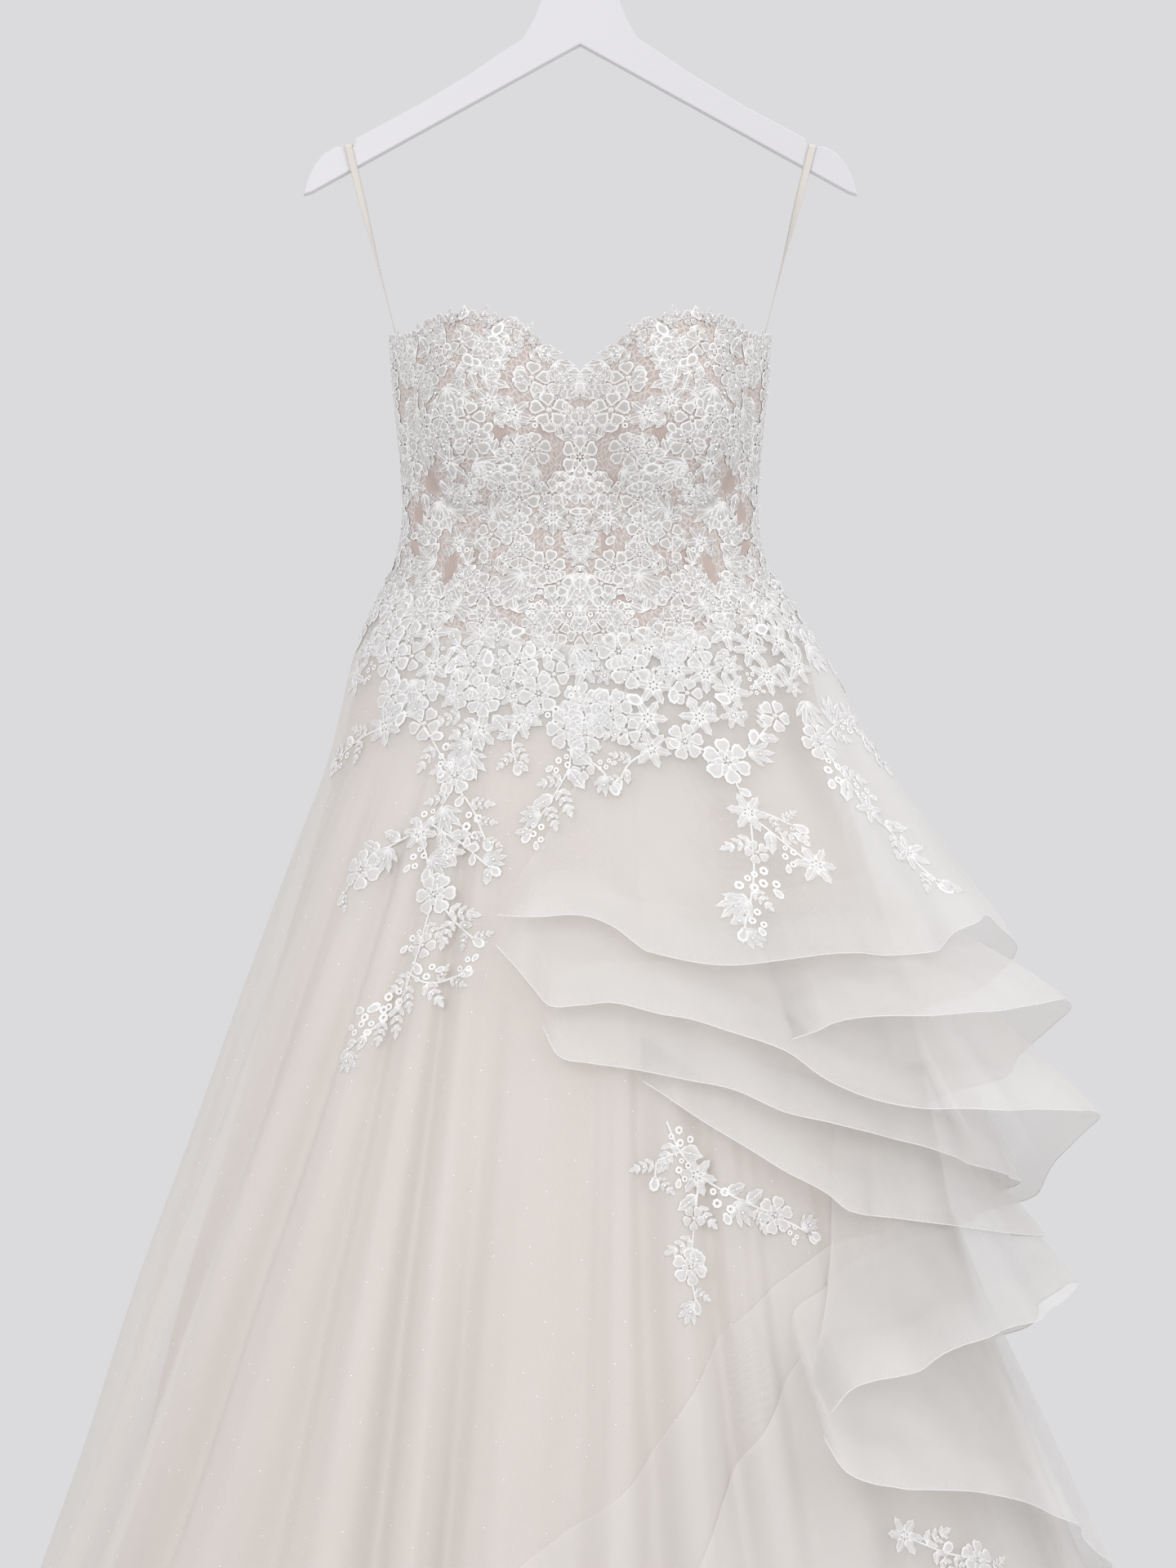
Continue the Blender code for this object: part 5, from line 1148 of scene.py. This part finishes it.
class StageSettings(bpy.types.PropertyGroup):
    floor_color: color_setting("Floor", "Colour of the round floor", (0.70, 0.70, 0.71))
    room_color: color_setting("Room", "Colour of the room and of its even light", (0.985, 0.98, 1.0))
    key_power: power_setting("Key light", "Power of the large main light in watts", 42.0)
    fill_power: power_setting("Fill light", "Power of each of the two other lights in watts", 25.0)
    room_light: power_setting("Room light", "Strength of the even light from all round", 0.72)


SETTINGS = {
    "dress_hanger": HangerSettings, "dress_bodice": BodiceSettings, "dress_skirt": SkirtSettings,
    "dress_flounces": FlounceSettings, "dress_lace": LaceSettings, "dress_stage": StageSettings,
}


# ---- Hanger and loops ----

NOTCH = (185.0, 208.5)
LOOP_SEAM = (146.8, 384.0, 360.0)  # across, and the drops where the ribbon is sewn and comes free
LOOP_AHEAD = 5.2         # how far each strand is sewn from the middle plane of the hanger
LOOP_ROWS = 121
WOOD_HALF_THICK = 6.0


class DRESS_OT_hanger(bpy.types.Operator):
    """Paints the wooden hanger and bends its wire hook"""
    bl_idname = "wedding_dress.hanger"
    bl_label = "Hanger"

    def execute(self, context):
        settings = context.scene.dress_hanger
        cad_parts["hanger_wood"].data.materials[0] = wood_finish(settings.wood_color)
        steel = gloss_finish("hook_steel", settings.steel_color, 0.22, metallic=1.0)
        radius, middle = (HOOK_INNER + HOOK_WIRE) * MM, -HOOK_INNER * MM
        start, neck = math.radians(HOOK_START), math.radians(HOOK_NECK)
        bpy.ops.object.select_all(action="DESELECT")
        bpy.ops.mesh.primitive_circle_add(
            vertices=20, radius=settings.wire_radius, fill_type="NGON",
            location=(radius * math.cos(start), 0, middle + radius * math.sin(start)))
        hook = context.object
        hook.name = "wire_hook"
        hook.rotation_euler = (0, -start, 0)
        bpy.ops.object.transform_apply(location=True, rotation=True, scale=True)
        bpy.ops.object.mode_set(mode="EDIT")
        bpy.ops.mesh.select_all(action="SELECT")
        sweep = math.radians(HOOK_START + HOOK_NECK)
        bpy.ops.mesh.spin(steps=60, angle=-sweep, center=(0, 0, middle), axis=(0, 1, 0))
        bend = radius * math.cos(neck) / (1 - math.cos(neck))
        foot = middle - radius * math.sin(neck) - bend * math.sin(neck)
        bpy.ops.mesh.spin(steps=20, angle=neck, center=(bend, 0, foot), axis=(0, 1, 0))
        bpy.ops.mesh.extrude_region_move(TRANSFORM_OT_translate={"value": (0, 0, -HOOK_FOOT * MM - foot)})
        bpy.ops.mesh.select_all(action="SELECT")
        bpy.ops.mesh.remove_doubles(threshold=1e-6)
        bpy.ops.mesh.normals_make_consistent(inside=False)
        bpy.ops.object.mode_set(mode="OBJECT")
        bpy.ops.object.shade_smooth_by_angle(angle=math.radians(40))
        hook.data.materials.append(steel)
        settle(hook, ["hanger_hook"])
        return {"FINISHED"}


def loop_path():
    """Front strand of a loop: across, drop, distance ahead and how far the ribbon's face has turned."""
    across, sewn, free = LOOP_SEAM
    stand = WOOD_HALF_THICK + 1.0
    rows = [(across, sewn, LOOP_AHEAD, 90), (across, free, LOOP_AHEAD, 90)]
    for share, face in ((0.2, 88), (0.4, 78), (0.55, 58), (0.7, 32), (0.85, 9), (0.97, 0)):
        rows.append((across + (NOTCH[0] - across) * share, free + (NOTCH[1] - free) * share,
                     LOOP_AHEAD + (stand - LOOP_AHEAD) * share, face))
    over = NOTCH[1] - 2.0
    rows += [(NOTCH[0], NOTCH[1] + 0.5, stand, 0), (NOTCH[0], over + 0.4, stand - 0.5, 0),
             (NOTCH[0], over, stand - 1.6, 0)]
    return rows


class DRESS_OT_loops(bpy.types.Operator):
    """Sews the two ribbon loops by which the dress hangs"""
    bl_idname = "wedding_dress.loops"
    bl_label = "Hanging loops"

    def execute(self, context):
        settings = context.scene.dress_hanger
        ribbon = satin_finish("loop_ribbon", settings.ribbon_color, 0.34)
        rows = loop_path()
        strands = np.array([(*row, -1) for row in rows] + [(*row, 1) for row in reversed(rows)], float)
        strands[:, 2] *= strands[:, 4]
        at = np.linspace(0, len(strands) - 1, LOOP_ROWS)
        across, drop, ahead, face, depth = (np.interp(at, np.arange(len(strands)), values)
                                            for values in strands.T)
        face, depth = np.radians(face), np.where(depth < 0, -1.0, 1.0)
        for side, name in reversed(SIDES):
            width = np.stack([np.cos(face), depth * side * np.sin(face), np.zeros(len(at))], -1)
            width *= settings.ribbon_width / 2
            centre = np.stack([side * across, ahead, -drop], -1) * MM
            points = centre[:, None] + width[:, None] * np.linspace(-1, 1, 5)[:, None]
            shape = Shape(points, grid_faces(len(at), 5), grid_uvs(points))
            piece = add_piece("ribbon_loop_" + name, shape, ribbon, ["hanging_loop_" + name])
            wall = piece.modifiers.new("wall", "SOLIDIFY")
            wall.thickness = 0.5 * MM
            wall.offset = 0.0
        return {"FINISHED"}


# ---- Bodice and zip ----

ZIP_HALF_SLOT = 2.0
SLIDER_FOOT = 413.0
COIL_PITCH = 1.7
COIL_HALF = (0.75, 0.35, 0.42)     # half sizes of one loop of the coil
COIL_SHIFT = (0.15, 0.0, -0.45)    # of a loop's foot from the middle, mirrored on the other side
BACK_EDGE_TURN = 179.5   # 2 mm from the centre back
LACE_EDGE_TURN = 179.0   # the lace is trimmed beside the zip

PANEL_ROWS, PANEL_COLUMNS = 40, 44
PANELS = {  # first and last turn, upper and lower edge
    "bodice_front": (-PRINCESS_TURN, PRINCESS_TURN, CUP_SEAM, WAIST),
    "cup_right": (0.0, SIDE_FRONT_TURN, NECKLINE, CUP_SEAM),
    "bodice_side_front_right": (PRINCESS_TURN, SIDE_FRONT_TURN, CUP_SEAM, WAIST),
    "bodice_side_right": (SIDE_FRONT_TURN, SIDE_BACK_TURN, NECKLINE, WAIST),
    "bodice_back_right": (SIDE_BACK_TURN, 180.0, NECKLINE, WAIST),
}


class DRESS_OT_bodice(bpy.types.Operator):
    """Cuts the panels of nude net over the body lining, and finishes the boning channels inside"""
    bl_idname = "wedding_dress.bodice"
    bl_label = "Bodice panels"

    def execute(self, context):
        net = body_finish(context.scene.dress_bodice.net_color)
        share = np.linspace(0, 1, PANEL_ROWS)[:, None]
        for name, (first, last, top, foot) in PANELS.items():
            turns = np.minimum(np.linspace(first, last, PANEL_COLUMNS), BACK_EDGE_TURN)
            drops = edge_drops(top, turns) * (1 - share) + edge_drops(foot, turns) * share
            turns = np.broadcast_to(turns, drops.shape)
            outs, closed = bodice_outs(turns, drops), 1.0 - in_window(turns, drops)
            for side, side_name in SIDES[:1] if name == "bodice_front" else SIDES:
                node = name.replace("right", side_name)
                points = form_points(turns * side, drops, outs)[:, ::side]
                add_cloth(node.replace("bodice", "net_panel").replace("cup", "net_cup"), points, net, [node],
                          tones=closed[:, ::side])
        boning = satin_finish("boning", context.scene.dress_bodice.tape_color, 0.5)
        for name in ("bone_left", "bone_right"):
            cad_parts[name].data.materials[0] = boning
        return {"FINISHED"}


class DRESS_OT_zip(bpy.types.Operator):
    """Finishes the centre back zip: its tape, coil, slider and pull tab"""
    bl_idname = "wedding_dress.zip"
    bl_label = "Zip"

    def execute(self, context):
        settings = context.scene.dress_bodice
        tape = gloss_finish("zip_tape", settings.tape_color, 0.6)
        silver = gloss_finish("zip_metal", settings.metal_color, 0.24, metallic=1.0)
        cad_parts["zip_chain"].data.materials[0] = tape
        for name in ("zip_slider", "zip_pull"):
            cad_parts[name].data.materials[0] = silver
        waist = float(edge_drops(WAIST, 180))
        loops = []
        for drop in np.arange(SLIDER_FOOT, ZIP_END - 6, COIL_PITCH):
            inside = 0.0 if drop < waist else float(lining_outs(drop, 30.0))
            base = form_points(180, drop, inside)
            for side in (-1, 1):
                foot = base + side * np.array(COIL_SHIFT) * MM
                corners = [[x, y, z] for x in (0, 2 * side) for y in (-1, 1) for z in (-1, 1)]
                loops.append(Shape(corners * np.array(COIL_HALF) * MM + foot, box_faces(side)))
        add_piece("zip_coil", joined_shapes(loops), tape)
        return {"FINISHED"}


def box_faces(side):
    """Faces of a box from its eight corners, turned outwards on either side."""
    faces = [(0, 1, 3, 2), (4, 6, 7, 5), (0, 4, 5, 1), (2, 3, 7, 6), (0, 2, 6, 4), (1, 5, 7, 3)]
    return [face[::side] for face in faces]


# ---- Skirt and flounces ----

SKIRT = skirt_heights()
LAYERS = {}


def settled_layers(context):
    """Heights of the flounces and of the outermost face, worked out once."""
    if not LAYERS:
        ripple = context.scene.dress_flounces.ripple / MM
        LAYERS["faces"], LAYERS["outermost"] = lay_flounces(SKIRT, ripple)
    return LAYERS


LINING_ROWS = 70
LINING_SPANS = {"lining_back_left": (-180, -90), "lining_front": (-90, 90), "lining_back_right": (90, 180)}
LINING_CREASE_TOP = 680
LINING_CREASE_SINK = 6.0
LINING_HEM = HEM_DROP - 12
CLOSED_HALF_SLOT = 0.6   # beside the seam below the zip


class DRESS_OT_lining(bpy.types.Operator):
    """Hangs the satin lining inside the tulle"""
    bl_idname = "wedding_dress.lining"
    bl_label = "Satin lining"

    def execute(self, context):
        settings = context.scene.dress_skirt
        satin = satin_finish("satin_lining", settings.lining_color)
        share = np.linspace(0, 1, LINING_ROWS)[:, None]
        for node, (first, last) in LINING_SPANS.items():
            turns = np.linspace(first, last, last - first + 1)
            top = edge_drops(WAIST, turns) - SEAM_LAP
            drops = top + (LINING_HEM - top) * share
            turns = np.broadcast_to(turns, drops.shape)
            half_slot = np.where(drops < ZIP_END, ZIP_HALF_SLOT, CLOSED_HALF_SLOT)
            gap = half_slot / across_scale(turns, drops)
            turns = np.clip(turns, -180 + gap, 180 - gap)
            growth = np.clip((drops - LINING_CREASE_TOP) / 1000, 0, 1) ** FOLD_GROWTH
            soft = growth * creased(LINING_CREASES, np.radians(turns), drops)
            outs = lining_outs(drops, settings.lining_draw_in / MM) + soft - LINING_CREASE_SINK * growth
            add_cloth("satin_" + node, form_points(turns, drops, outs), satin, [node])
        return {"FINISHED"}


SKIRT_SPANS = (("skirt_back_left", None, "left"), ("skirt_front_left", "left", "front"),
               ("skirt_front_right", "front", "right"), ("skirt_back_right", "right", None))
TULLE_ROWS = 96
TULLE_STEP = 0.125


class DRESS_OT_skirt(bpy.types.Operator):
    """Gathers the four panels of the tulle overskirt into their folds"""
    bl_idname = "wedding_dress.skirt"
    bl_label = "Tulle skirt"

    def execute(self, context):
        settings = context.scene.dress_skirt
        tulle = tulle_finish(settings.tulle_color, settings.tulle_cover)
        last_line = len(LINES.top) - 1
        places = {key: 4 * index + 4 for key, index in SKIRT_SEAMS.items()}
        keys = np.arange(last_line + 1)
        share = np.linspace(0, 1, TULLE_ROWS)[:, None]
        for node, start, end in SKIRT_SPANS:
            first, last = places.get(start, 0), places.get(end, last_line)
            at = np.linspace(first, last, int((last - first) / TULLE_STEP) + 1)
            tops = smooth_values(keys, LINES.top, at)
            upper = edge_drops(WAIST, tops) - SEAM_LAP
            drops = upper + (HEM_DROP - upper) * share
            lean = np.clip((drops - FOLD_TOP_DROP) / (HEM_DROP - FOLD_TOP_DROP), 0, None)
            turns = tops + (smooth_values(keys, LINES.hem, at) - tops) * lean
            points = form_points(turns, drops, kept_height(SKIRT, turns, drops))
            add_cloth("tulle_" + node, points, tulle, [node])
        return {"FINISHED"}


# From a band's upper edge to its hem, how thickly the braid shows
BRAID_TONES = np.array([0.1, 0.5, 0.8, 0.9, 1.0, 1.15])[:, None]
BRAID_LIFT = 0.9
CORD_LIFT, CORD_DROP, CORD_RADIUS = 0.6, 0.4, 0.45


class DRESS_OT_flounces(bpy.types.Operator):
    """Lays the nine organza flounces on the skirt, each with its braid and the cord along its hem"""
    bl_idname = "wedding_dress.flounces"
    bl_label = "Flounces and bands"

    def execute(self, context):
        settings = context.scene.dress_flounces
        organza = organza_finish(settings.organza_color, settings.organza_cover)
        braid = braid_finish(settings.band_color, settings.band_cover)
        cord = satin_finish("hem_cord", settings.cord_color, 0.5)
        share = np.linspace(0, 1, FLOUNCE_ROWS)[:, None]
        for level, face in settled_layers(context)["faces"].items():
            number, height = level + 1, face.hem - face.root
            points = form_points(face.turns, face.root + height * share, face.outs)
            from_share = np.clip(1 - BAND_WIDTH / height, 0.02, 1)
            shares = from_share + (1 - from_share) * np.linspace(0, 1, len(BRAID_TONES))[:, None]
            columns = np.broadcast_to(np.arange(len(face.turns), dtype=float), shares.shape)
            shown = np.clip(np.linalg.norm(points[-1] - points[-1, 0], axis=-1) / END_FADE, 0.08, 1)
            band_outs = between(face.outs, shares * (FLOUNCE_ROWS - 1), columns) + BRAID_LIFT
            band = form_points(face.turns, face.root + height * shares, band_outs)
            strip = add_cloth(f"braid_{number}", band, braid, [f"band_{number}"],
                              tones=shown * BRAID_TONES)
            edge = form_points(face.turns, face.hem + CORD_DROP, face.outs[-1] + CORD_LIFT)
            hem = add_piece(f"hem_cord_{number}", tube(edge, CORD_RADIUS * MM), cord)
            add_cloth(f"organza_{number}", points, organza, [f"flounce_{number}"],
                      tones=np.tile(shown, (FLOUNCE_ROWS, 1)))
        return {"FINISHED"}


# ---- Lace and beads ----

LACE_SPANS = {"front": (0.0, SIDE_FRONT_TURN), "side": (SIDE_FRONT_TURN, SIDE_BACK_TURN),
              "back": (SIDE_BACK_TURN, 180.0)}
GIRDLE_SPANS = {"front_left": (-88, 9), "front_right": (9.6, 95), "back_right": (95, 178),
                "back_left": (-178, -88)}
GIRDLE_DEPTH = 38.0
GIRDLE_MORE_IN_FRONT = 36.0
NECK_MOTIFS = (("flower", 12, 15, 3.5), ("leaf", 11, 14, 6.0), ("star", 13, 16, 4.0), ("fern", 13, 16, 7.0))


def outer_heights(turn, drop):
    """Outermost face over the form, from the neckline to the hem."""
    skirt = kept_height(LAYERS["outermost"], turn, drop)
    return np.where(drop < edge_drops(WAIST, turn) + 1, np.maximum(bodice_outs(turn, drop), 0),
                    np.maximum(skirt, SKIRT_OUT))


def in_window(turn, drop, margin=0.0):
    """Whether places lie in a nude window of the lace, or nearer to it than a margin."""
    scale = across_scale(turn, drop)
    return np.any([((turn - window.turn) * scale / (window.across + margin)) ** 2
                   + ((drop - window.drop) / (window.down + margin)) ** 2 < 1 for window in WINDOWS], axis=0)


def in_bodice(turn, drop, size):
    """Whether a motif of a size fits on the bodice, clear of its edges and of the windows."""
    below_neck = drop - edge_drops(NECKLINE, turn)
    above_waist = edge_drops(WAIST, turn) - drop
    return ((below_neck > size * 0.22) & (above_waist > -2) & ~in_window(turn, drop, size * 0.34)
            & (turn < LACE_EDGE_TURN - size * 0.16))


def in_girdle(turn, drop, size):
    """Whether a motif belongs to the lace over the waist.

    That lace ends in uneven scallops, reaches lower in front and thins out downwards.
    """
    below = drop - edge_drops(WAIST, turn)
    front = GIRDLE_MORE_IN_FRONT * np.maximum(np.cos(np.radians(turn)), 0)
    scallops = 16 * np.sin(turn / 4.1) + 8 * np.sin(turn / 1.9 + 1) - 8 * np.cos(turn / 27)
    patches = np.sin(turn * 0.83 + drop * 0.21) + np.sin(turn * 0.37 - drop * 0.13)
    thin = (below > 24) & (patches > 1.3 - below / 60)
    return (below > -4) & (below < GIRDLE_DEPTH + front + scallops - size * 0.3) & ~thin


BODICE_SCATTER = Scatter(
    {27: ("rose", "fern", "star"), 21: ("fern", "rose", "sprig"), 16: ("fern", "flower", "sprig"),
     11: ("fern", "leaf", "berries", "flower"), 8: ("bud", "leaf", "flower"), 6: ("bud", "leaf")},
    in_bodice, 0.65, 4800, 1.6, (0, 360))
WAIST_SCATTER = Scatter(
    {30: ("rose", "star"), 22: ("fern", "star", "flower"), 16: ("fern", "star", "sprig"),
     11: ("leaf", "fern", "berries", "leaf"), 8: ("bud", "leaf", "berries")},
    in_girdle, 0.72, 1700, 1.7, (180, 360))


def neckline_motifs(chance):
    """Small motifs in a row below the neckline, from the centre front to the centre back."""
    neck = [(turn, float(edge_drops(NECKLINE, turn))) for turn in np.arange(0.8, 178, 2.4)]
    motifs = []
    for index, (turn, drop, heading) in enumerate(zip(*stem_run(neck, LEAF_STEP))):
        sizes = [chance.uniform(least, most) for _, least, most, _ in NECK_MOTIFS]
        choice = index % len(NECK_MOTIFS)
        kind, _, _, inset = NECK_MOTIFS[choice]
        across, up = polar(inset, math.radians(heading - 90))
        motifs.append(Placed(kind, turn + across / float(across_scale(turn, drop)), drop - up, sizes[choice],
                             heading + chance.uniform(60, 120)))
    return motifs


# One kind of lace: its finishes, the face that it lies on, how far its lace, pearls and sequins stand off
# that face, and the kinds and sizes of the flowers that have a pearl
Lace = namedtuple("Lace", "shapes finish pearl sequin height lifts eyes least_eye")


def sew_lace(lace, name, node, motifs, settings, mirror=1, stems=()):
    """Adds motifs as one piece, the pearls in the flowers' eyes as another, and the sequins as a third."""
    lace_lift, pearl_lift, sequin_lift = lace.lifts
    shape = laid_motifs(motifs, lace.shapes, lace.height, lace_lift, mirror)
    if stems:
        shape = joined_shapes([shape, laid_stems(stems, lace.height)])
    add_piece(name.format("lace"), shape, lace.finish, [node])
    eyes = [(item.turn, item.drop) for item in motifs
            if item.kind in lace.eyes and item.size > lace.least_eye]
    for kind, places, radius, lift, flat, finish in (
            ("pearls", eyes, settings.bead_radius, pearl_lift, 1.0, lace.pearl),
            ("sequins", sequin_places(motifs), settings.sequin_radius, sequin_lift, SEQUIN_FLATNESS,
             lace.sequin)):
        places = [(turn * mirror, drop) for turn, drop in places]
        beads = bead_shape(places, radius / MM, lace.height, lift, flat)
        add_piece(name.format(kind), beads, finish)


class DRESS_OT_lace(bpy.types.Operator):
    """Covers the bodice and the waist with corded lace, pearls and sequins"""
    bl_idname = "wedding_dress.lace"
    bl_label = "Bodice and waist lace"

    def execute(self, context):
        settings = context.scene.dress_lace
        settled_layers(context)
        shapes, beads = motif_shapes(settings.rise / MM), bead_finishes(sheen_weight=0.2)
        finish = lace_finish("lace", settings.lace_color, settings.shade_color)
        lace = Lace(shapes, finish, *beads, bodice_outs, (0.4, 1.6, 1.5), ("flower", "rose", "star"), 16)
        for side, side_name in SIDES:
            chance = random.Random(settings.seed)
            motifs = BODICE_MOTIFS + scattered(chance, BODICE_SCATTER, (0.5, 179, 345, 612),
                                               BODICE_MOTIFS + CENTRE_MOTIFS)
            motifs += neckline_motifs(chance)
            for part, (first, last) in LACE_SPANS.items():
                chosen = [item for item in motifs if first <= item.turn < last]
                if part == "front" and side > 0:
                    chosen += CENTRE_MOTIFS
                sew_lace(lace, f"{part}_{{}}_{side_name}", f"lace_{part}_{side_name}", chosen, settings, side)
        chance = random.Random(settings.seed + 1)
        finish = lace_finish("waist_lace", settings.lace_color, settings.light_shade_color, settings.sheer)
        lace = Lace(shapes, finish, *beads, outer_heights, (0.6, 2.0, 1.9), ("flower", "rose"), 12)
        for place, (first, last) in GIRDLE_SPANS.items():
            motifs = scattered(chance, WAIST_SCATTER, (first, last, 545, 715))
            sew_lace(lace, "waist_{}_" + place, "girdle_" + place, motifs, settings)
        return {"FINISHED"}


class DRESS_OT_sprays(bpy.types.Operator):
    """Sews sprays of flowers, leaves, buds and sequins on the skirt and the flounces"""
    bl_idname = "wedding_dress.sprays"
    bl_label = "Sprays of lace"

    def execute(self, context):
        settings = context.scene.dress_lace
        settled_layers(context)
        finish = lace_finish("spray_lace", settings.lace_color, settings.light_shade_color, settings.sheer)
        lace = Lace(motif_shapes(settings.rise / MM * 1.15), finish, *bead_finishes("spray_"), outer_heights,
                    (0.8, 2.2, 2.1), ("flower", "rose", "bud"), 0)
        for node, (stems, flowers) in SPRAYS.items():
            motifs = grown_sprays(stems, flowers, random.Random(settings.seed))
            sew_lace(lace, node + "_{}", node, motifs, settings, stems=stems)
        return {"FINISHED"}


# ---- Stage ----

FLOOR_RADIUS = 1.5


def add_light(name, place, aim, size, power):
    """Large soft light at a place, turned towards what it lights."""
    lamp = bpy.data.lights.new(name, "AREA")
    lamp.shape = "RECTANGLE"
    lamp.size, lamp.size_y = size
    lamp.energy = power
    item = bpy.data.objects.new(name, lamp)
    item.location = place
    item.rotation_euler = (Vector(aim) - Vector(place)).to_track_quat("-Z", "Y").to_euler()
    bpy.context.scene.collection.objects.link(item)


class DRESS_OT_stage(bpy.types.Operator):
    """Sets up the pale floor, the soft lights and the camera"""
    bl_idname = "wedding_dress.stage"
    bl_label = "Stage"

    def execute(self, context):
        settings = context.scene.dress_stage
        scene = context.scene
        color = settings.floor_color
        finish = Finish("floor", color, 0.9)
        tone = finish.noise(finish.places(kind="space"), 1.3, 2.0, "3D")
        share = finish.maths("MULTIPLY", tone, 0.2)
        finish.set("Base Color", finish.mixed(share, color, dimmed(color, 0.92)))
        bpy.ops.mesh.primitive_cylinder_add(vertices=128, radius=FLOOR_RADIUS, depth=0.006,
                                            location=(0, 0, CAD_BOX[0][2] - 0.015))
        floor = bpy.context.object
        floor.name = "floor"
        bpy.ops.object.transform_apply(location=True, rotation=True, scale=True)
        floor.data.materials.append(finish.material)

        world = bpy.data.worlds.new("room")
        world.use_nodes = True
        background = world.node_tree.nodes["Background"].inputs
        background["Color"].default_value = (*settings.room_color, 1.0)
        background["Strength"].default_value = settings.room_light
        scene.world = world
        add_light("key_light", (-1.3, -3.2, 0.7), (0, 0, -0.9), (2.6, 2.4), settings.key_power)
        add_light("fill_light", (3.0, -2.2, -0.2), (0.2, 0, -1.0), (2.0, 2.6), settings.fill_power)
        add_light("top_light", (0.9, 0.5, 1.9), (0.5, 0.6, -1.0), (2.6, 2.0), settings.fill_power)

        lens = bpy.data.cameras.new("camera")
        lens.lens = 85.0
        lens.sensor_width = 36.0
        camera = bpy.data.objects.new("camera", lens)
        camera.location = (0.0062, -2.959, -0.7165)
        camera.rotation_euler = (math.pi / 2, 0, 0)
        scene.collection.objects.link(camera)
        scene.camera = camera
        scene.view_settings.view_transform = "Standard"
        return {"FINISHED"}


class DRESS_PT_parts(bpy.types.Panel):
    """Lists the parts of the dress and their settings"""
    bl_idname = "DRESS_PT_parts"
    bl_label = "Wedding Dress"
    bl_space_type = "VIEW_3D"
    bl_region_type = "UI"
    bl_category = "Wedding Dress"

    def draw(self, context):
        for operator in OPERATORS:
            self.layout.operator(operator.bl_idname)
        for name in SETTINGS:
            group = getattr(context.scene, name)
            box = self.layout.box()
            for key in group.__annotations__:
                box.prop(group, key)


OPERATORS = (DRESS_OT_hanger, DRESS_OT_loops, DRESS_OT_bodice, DRESS_OT_zip, DRESS_OT_lining,
             DRESS_OT_skirt, DRESS_OT_flounces, DRESS_OT_lace, DRESS_OT_sprays, DRESS_OT_stage)
CLASSES = (*SETTINGS.values(), *OPERATORS, DRESS_PT_parts)


def register():
    for item in CLASSES:
        bpy.utils.register_class(item)
    for name, group in SETTINGS.items():
        setattr(bpy.types.Scene, name, PointerProperty(type=group))


def unregister():
    for name in SETTINGS:
        delattr(bpy.types.Scene, name)
    for item in reversed(CLASSES):
        bpy.utils.unregister_class(item)


def main():
    register()
    bpy.ops.wedding_dress.hanger()
    bpy.ops.wedding_dress.loops()
    bpy.ops.wedding_dress.bodice()
    bpy.ops.wedding_dress.zip()
    bpy.ops.wedding_dress.lining()
    bpy.ops.wedding_dress.skirt()
    bpy.ops.wedding_dress.flounces()
    bpy.ops.wedding_dress.lace()
    bpy.ops.wedding_dress.sprays()
    bpy.ops.wedding_dress.stage()


if __name__ == "__main__":
    main()
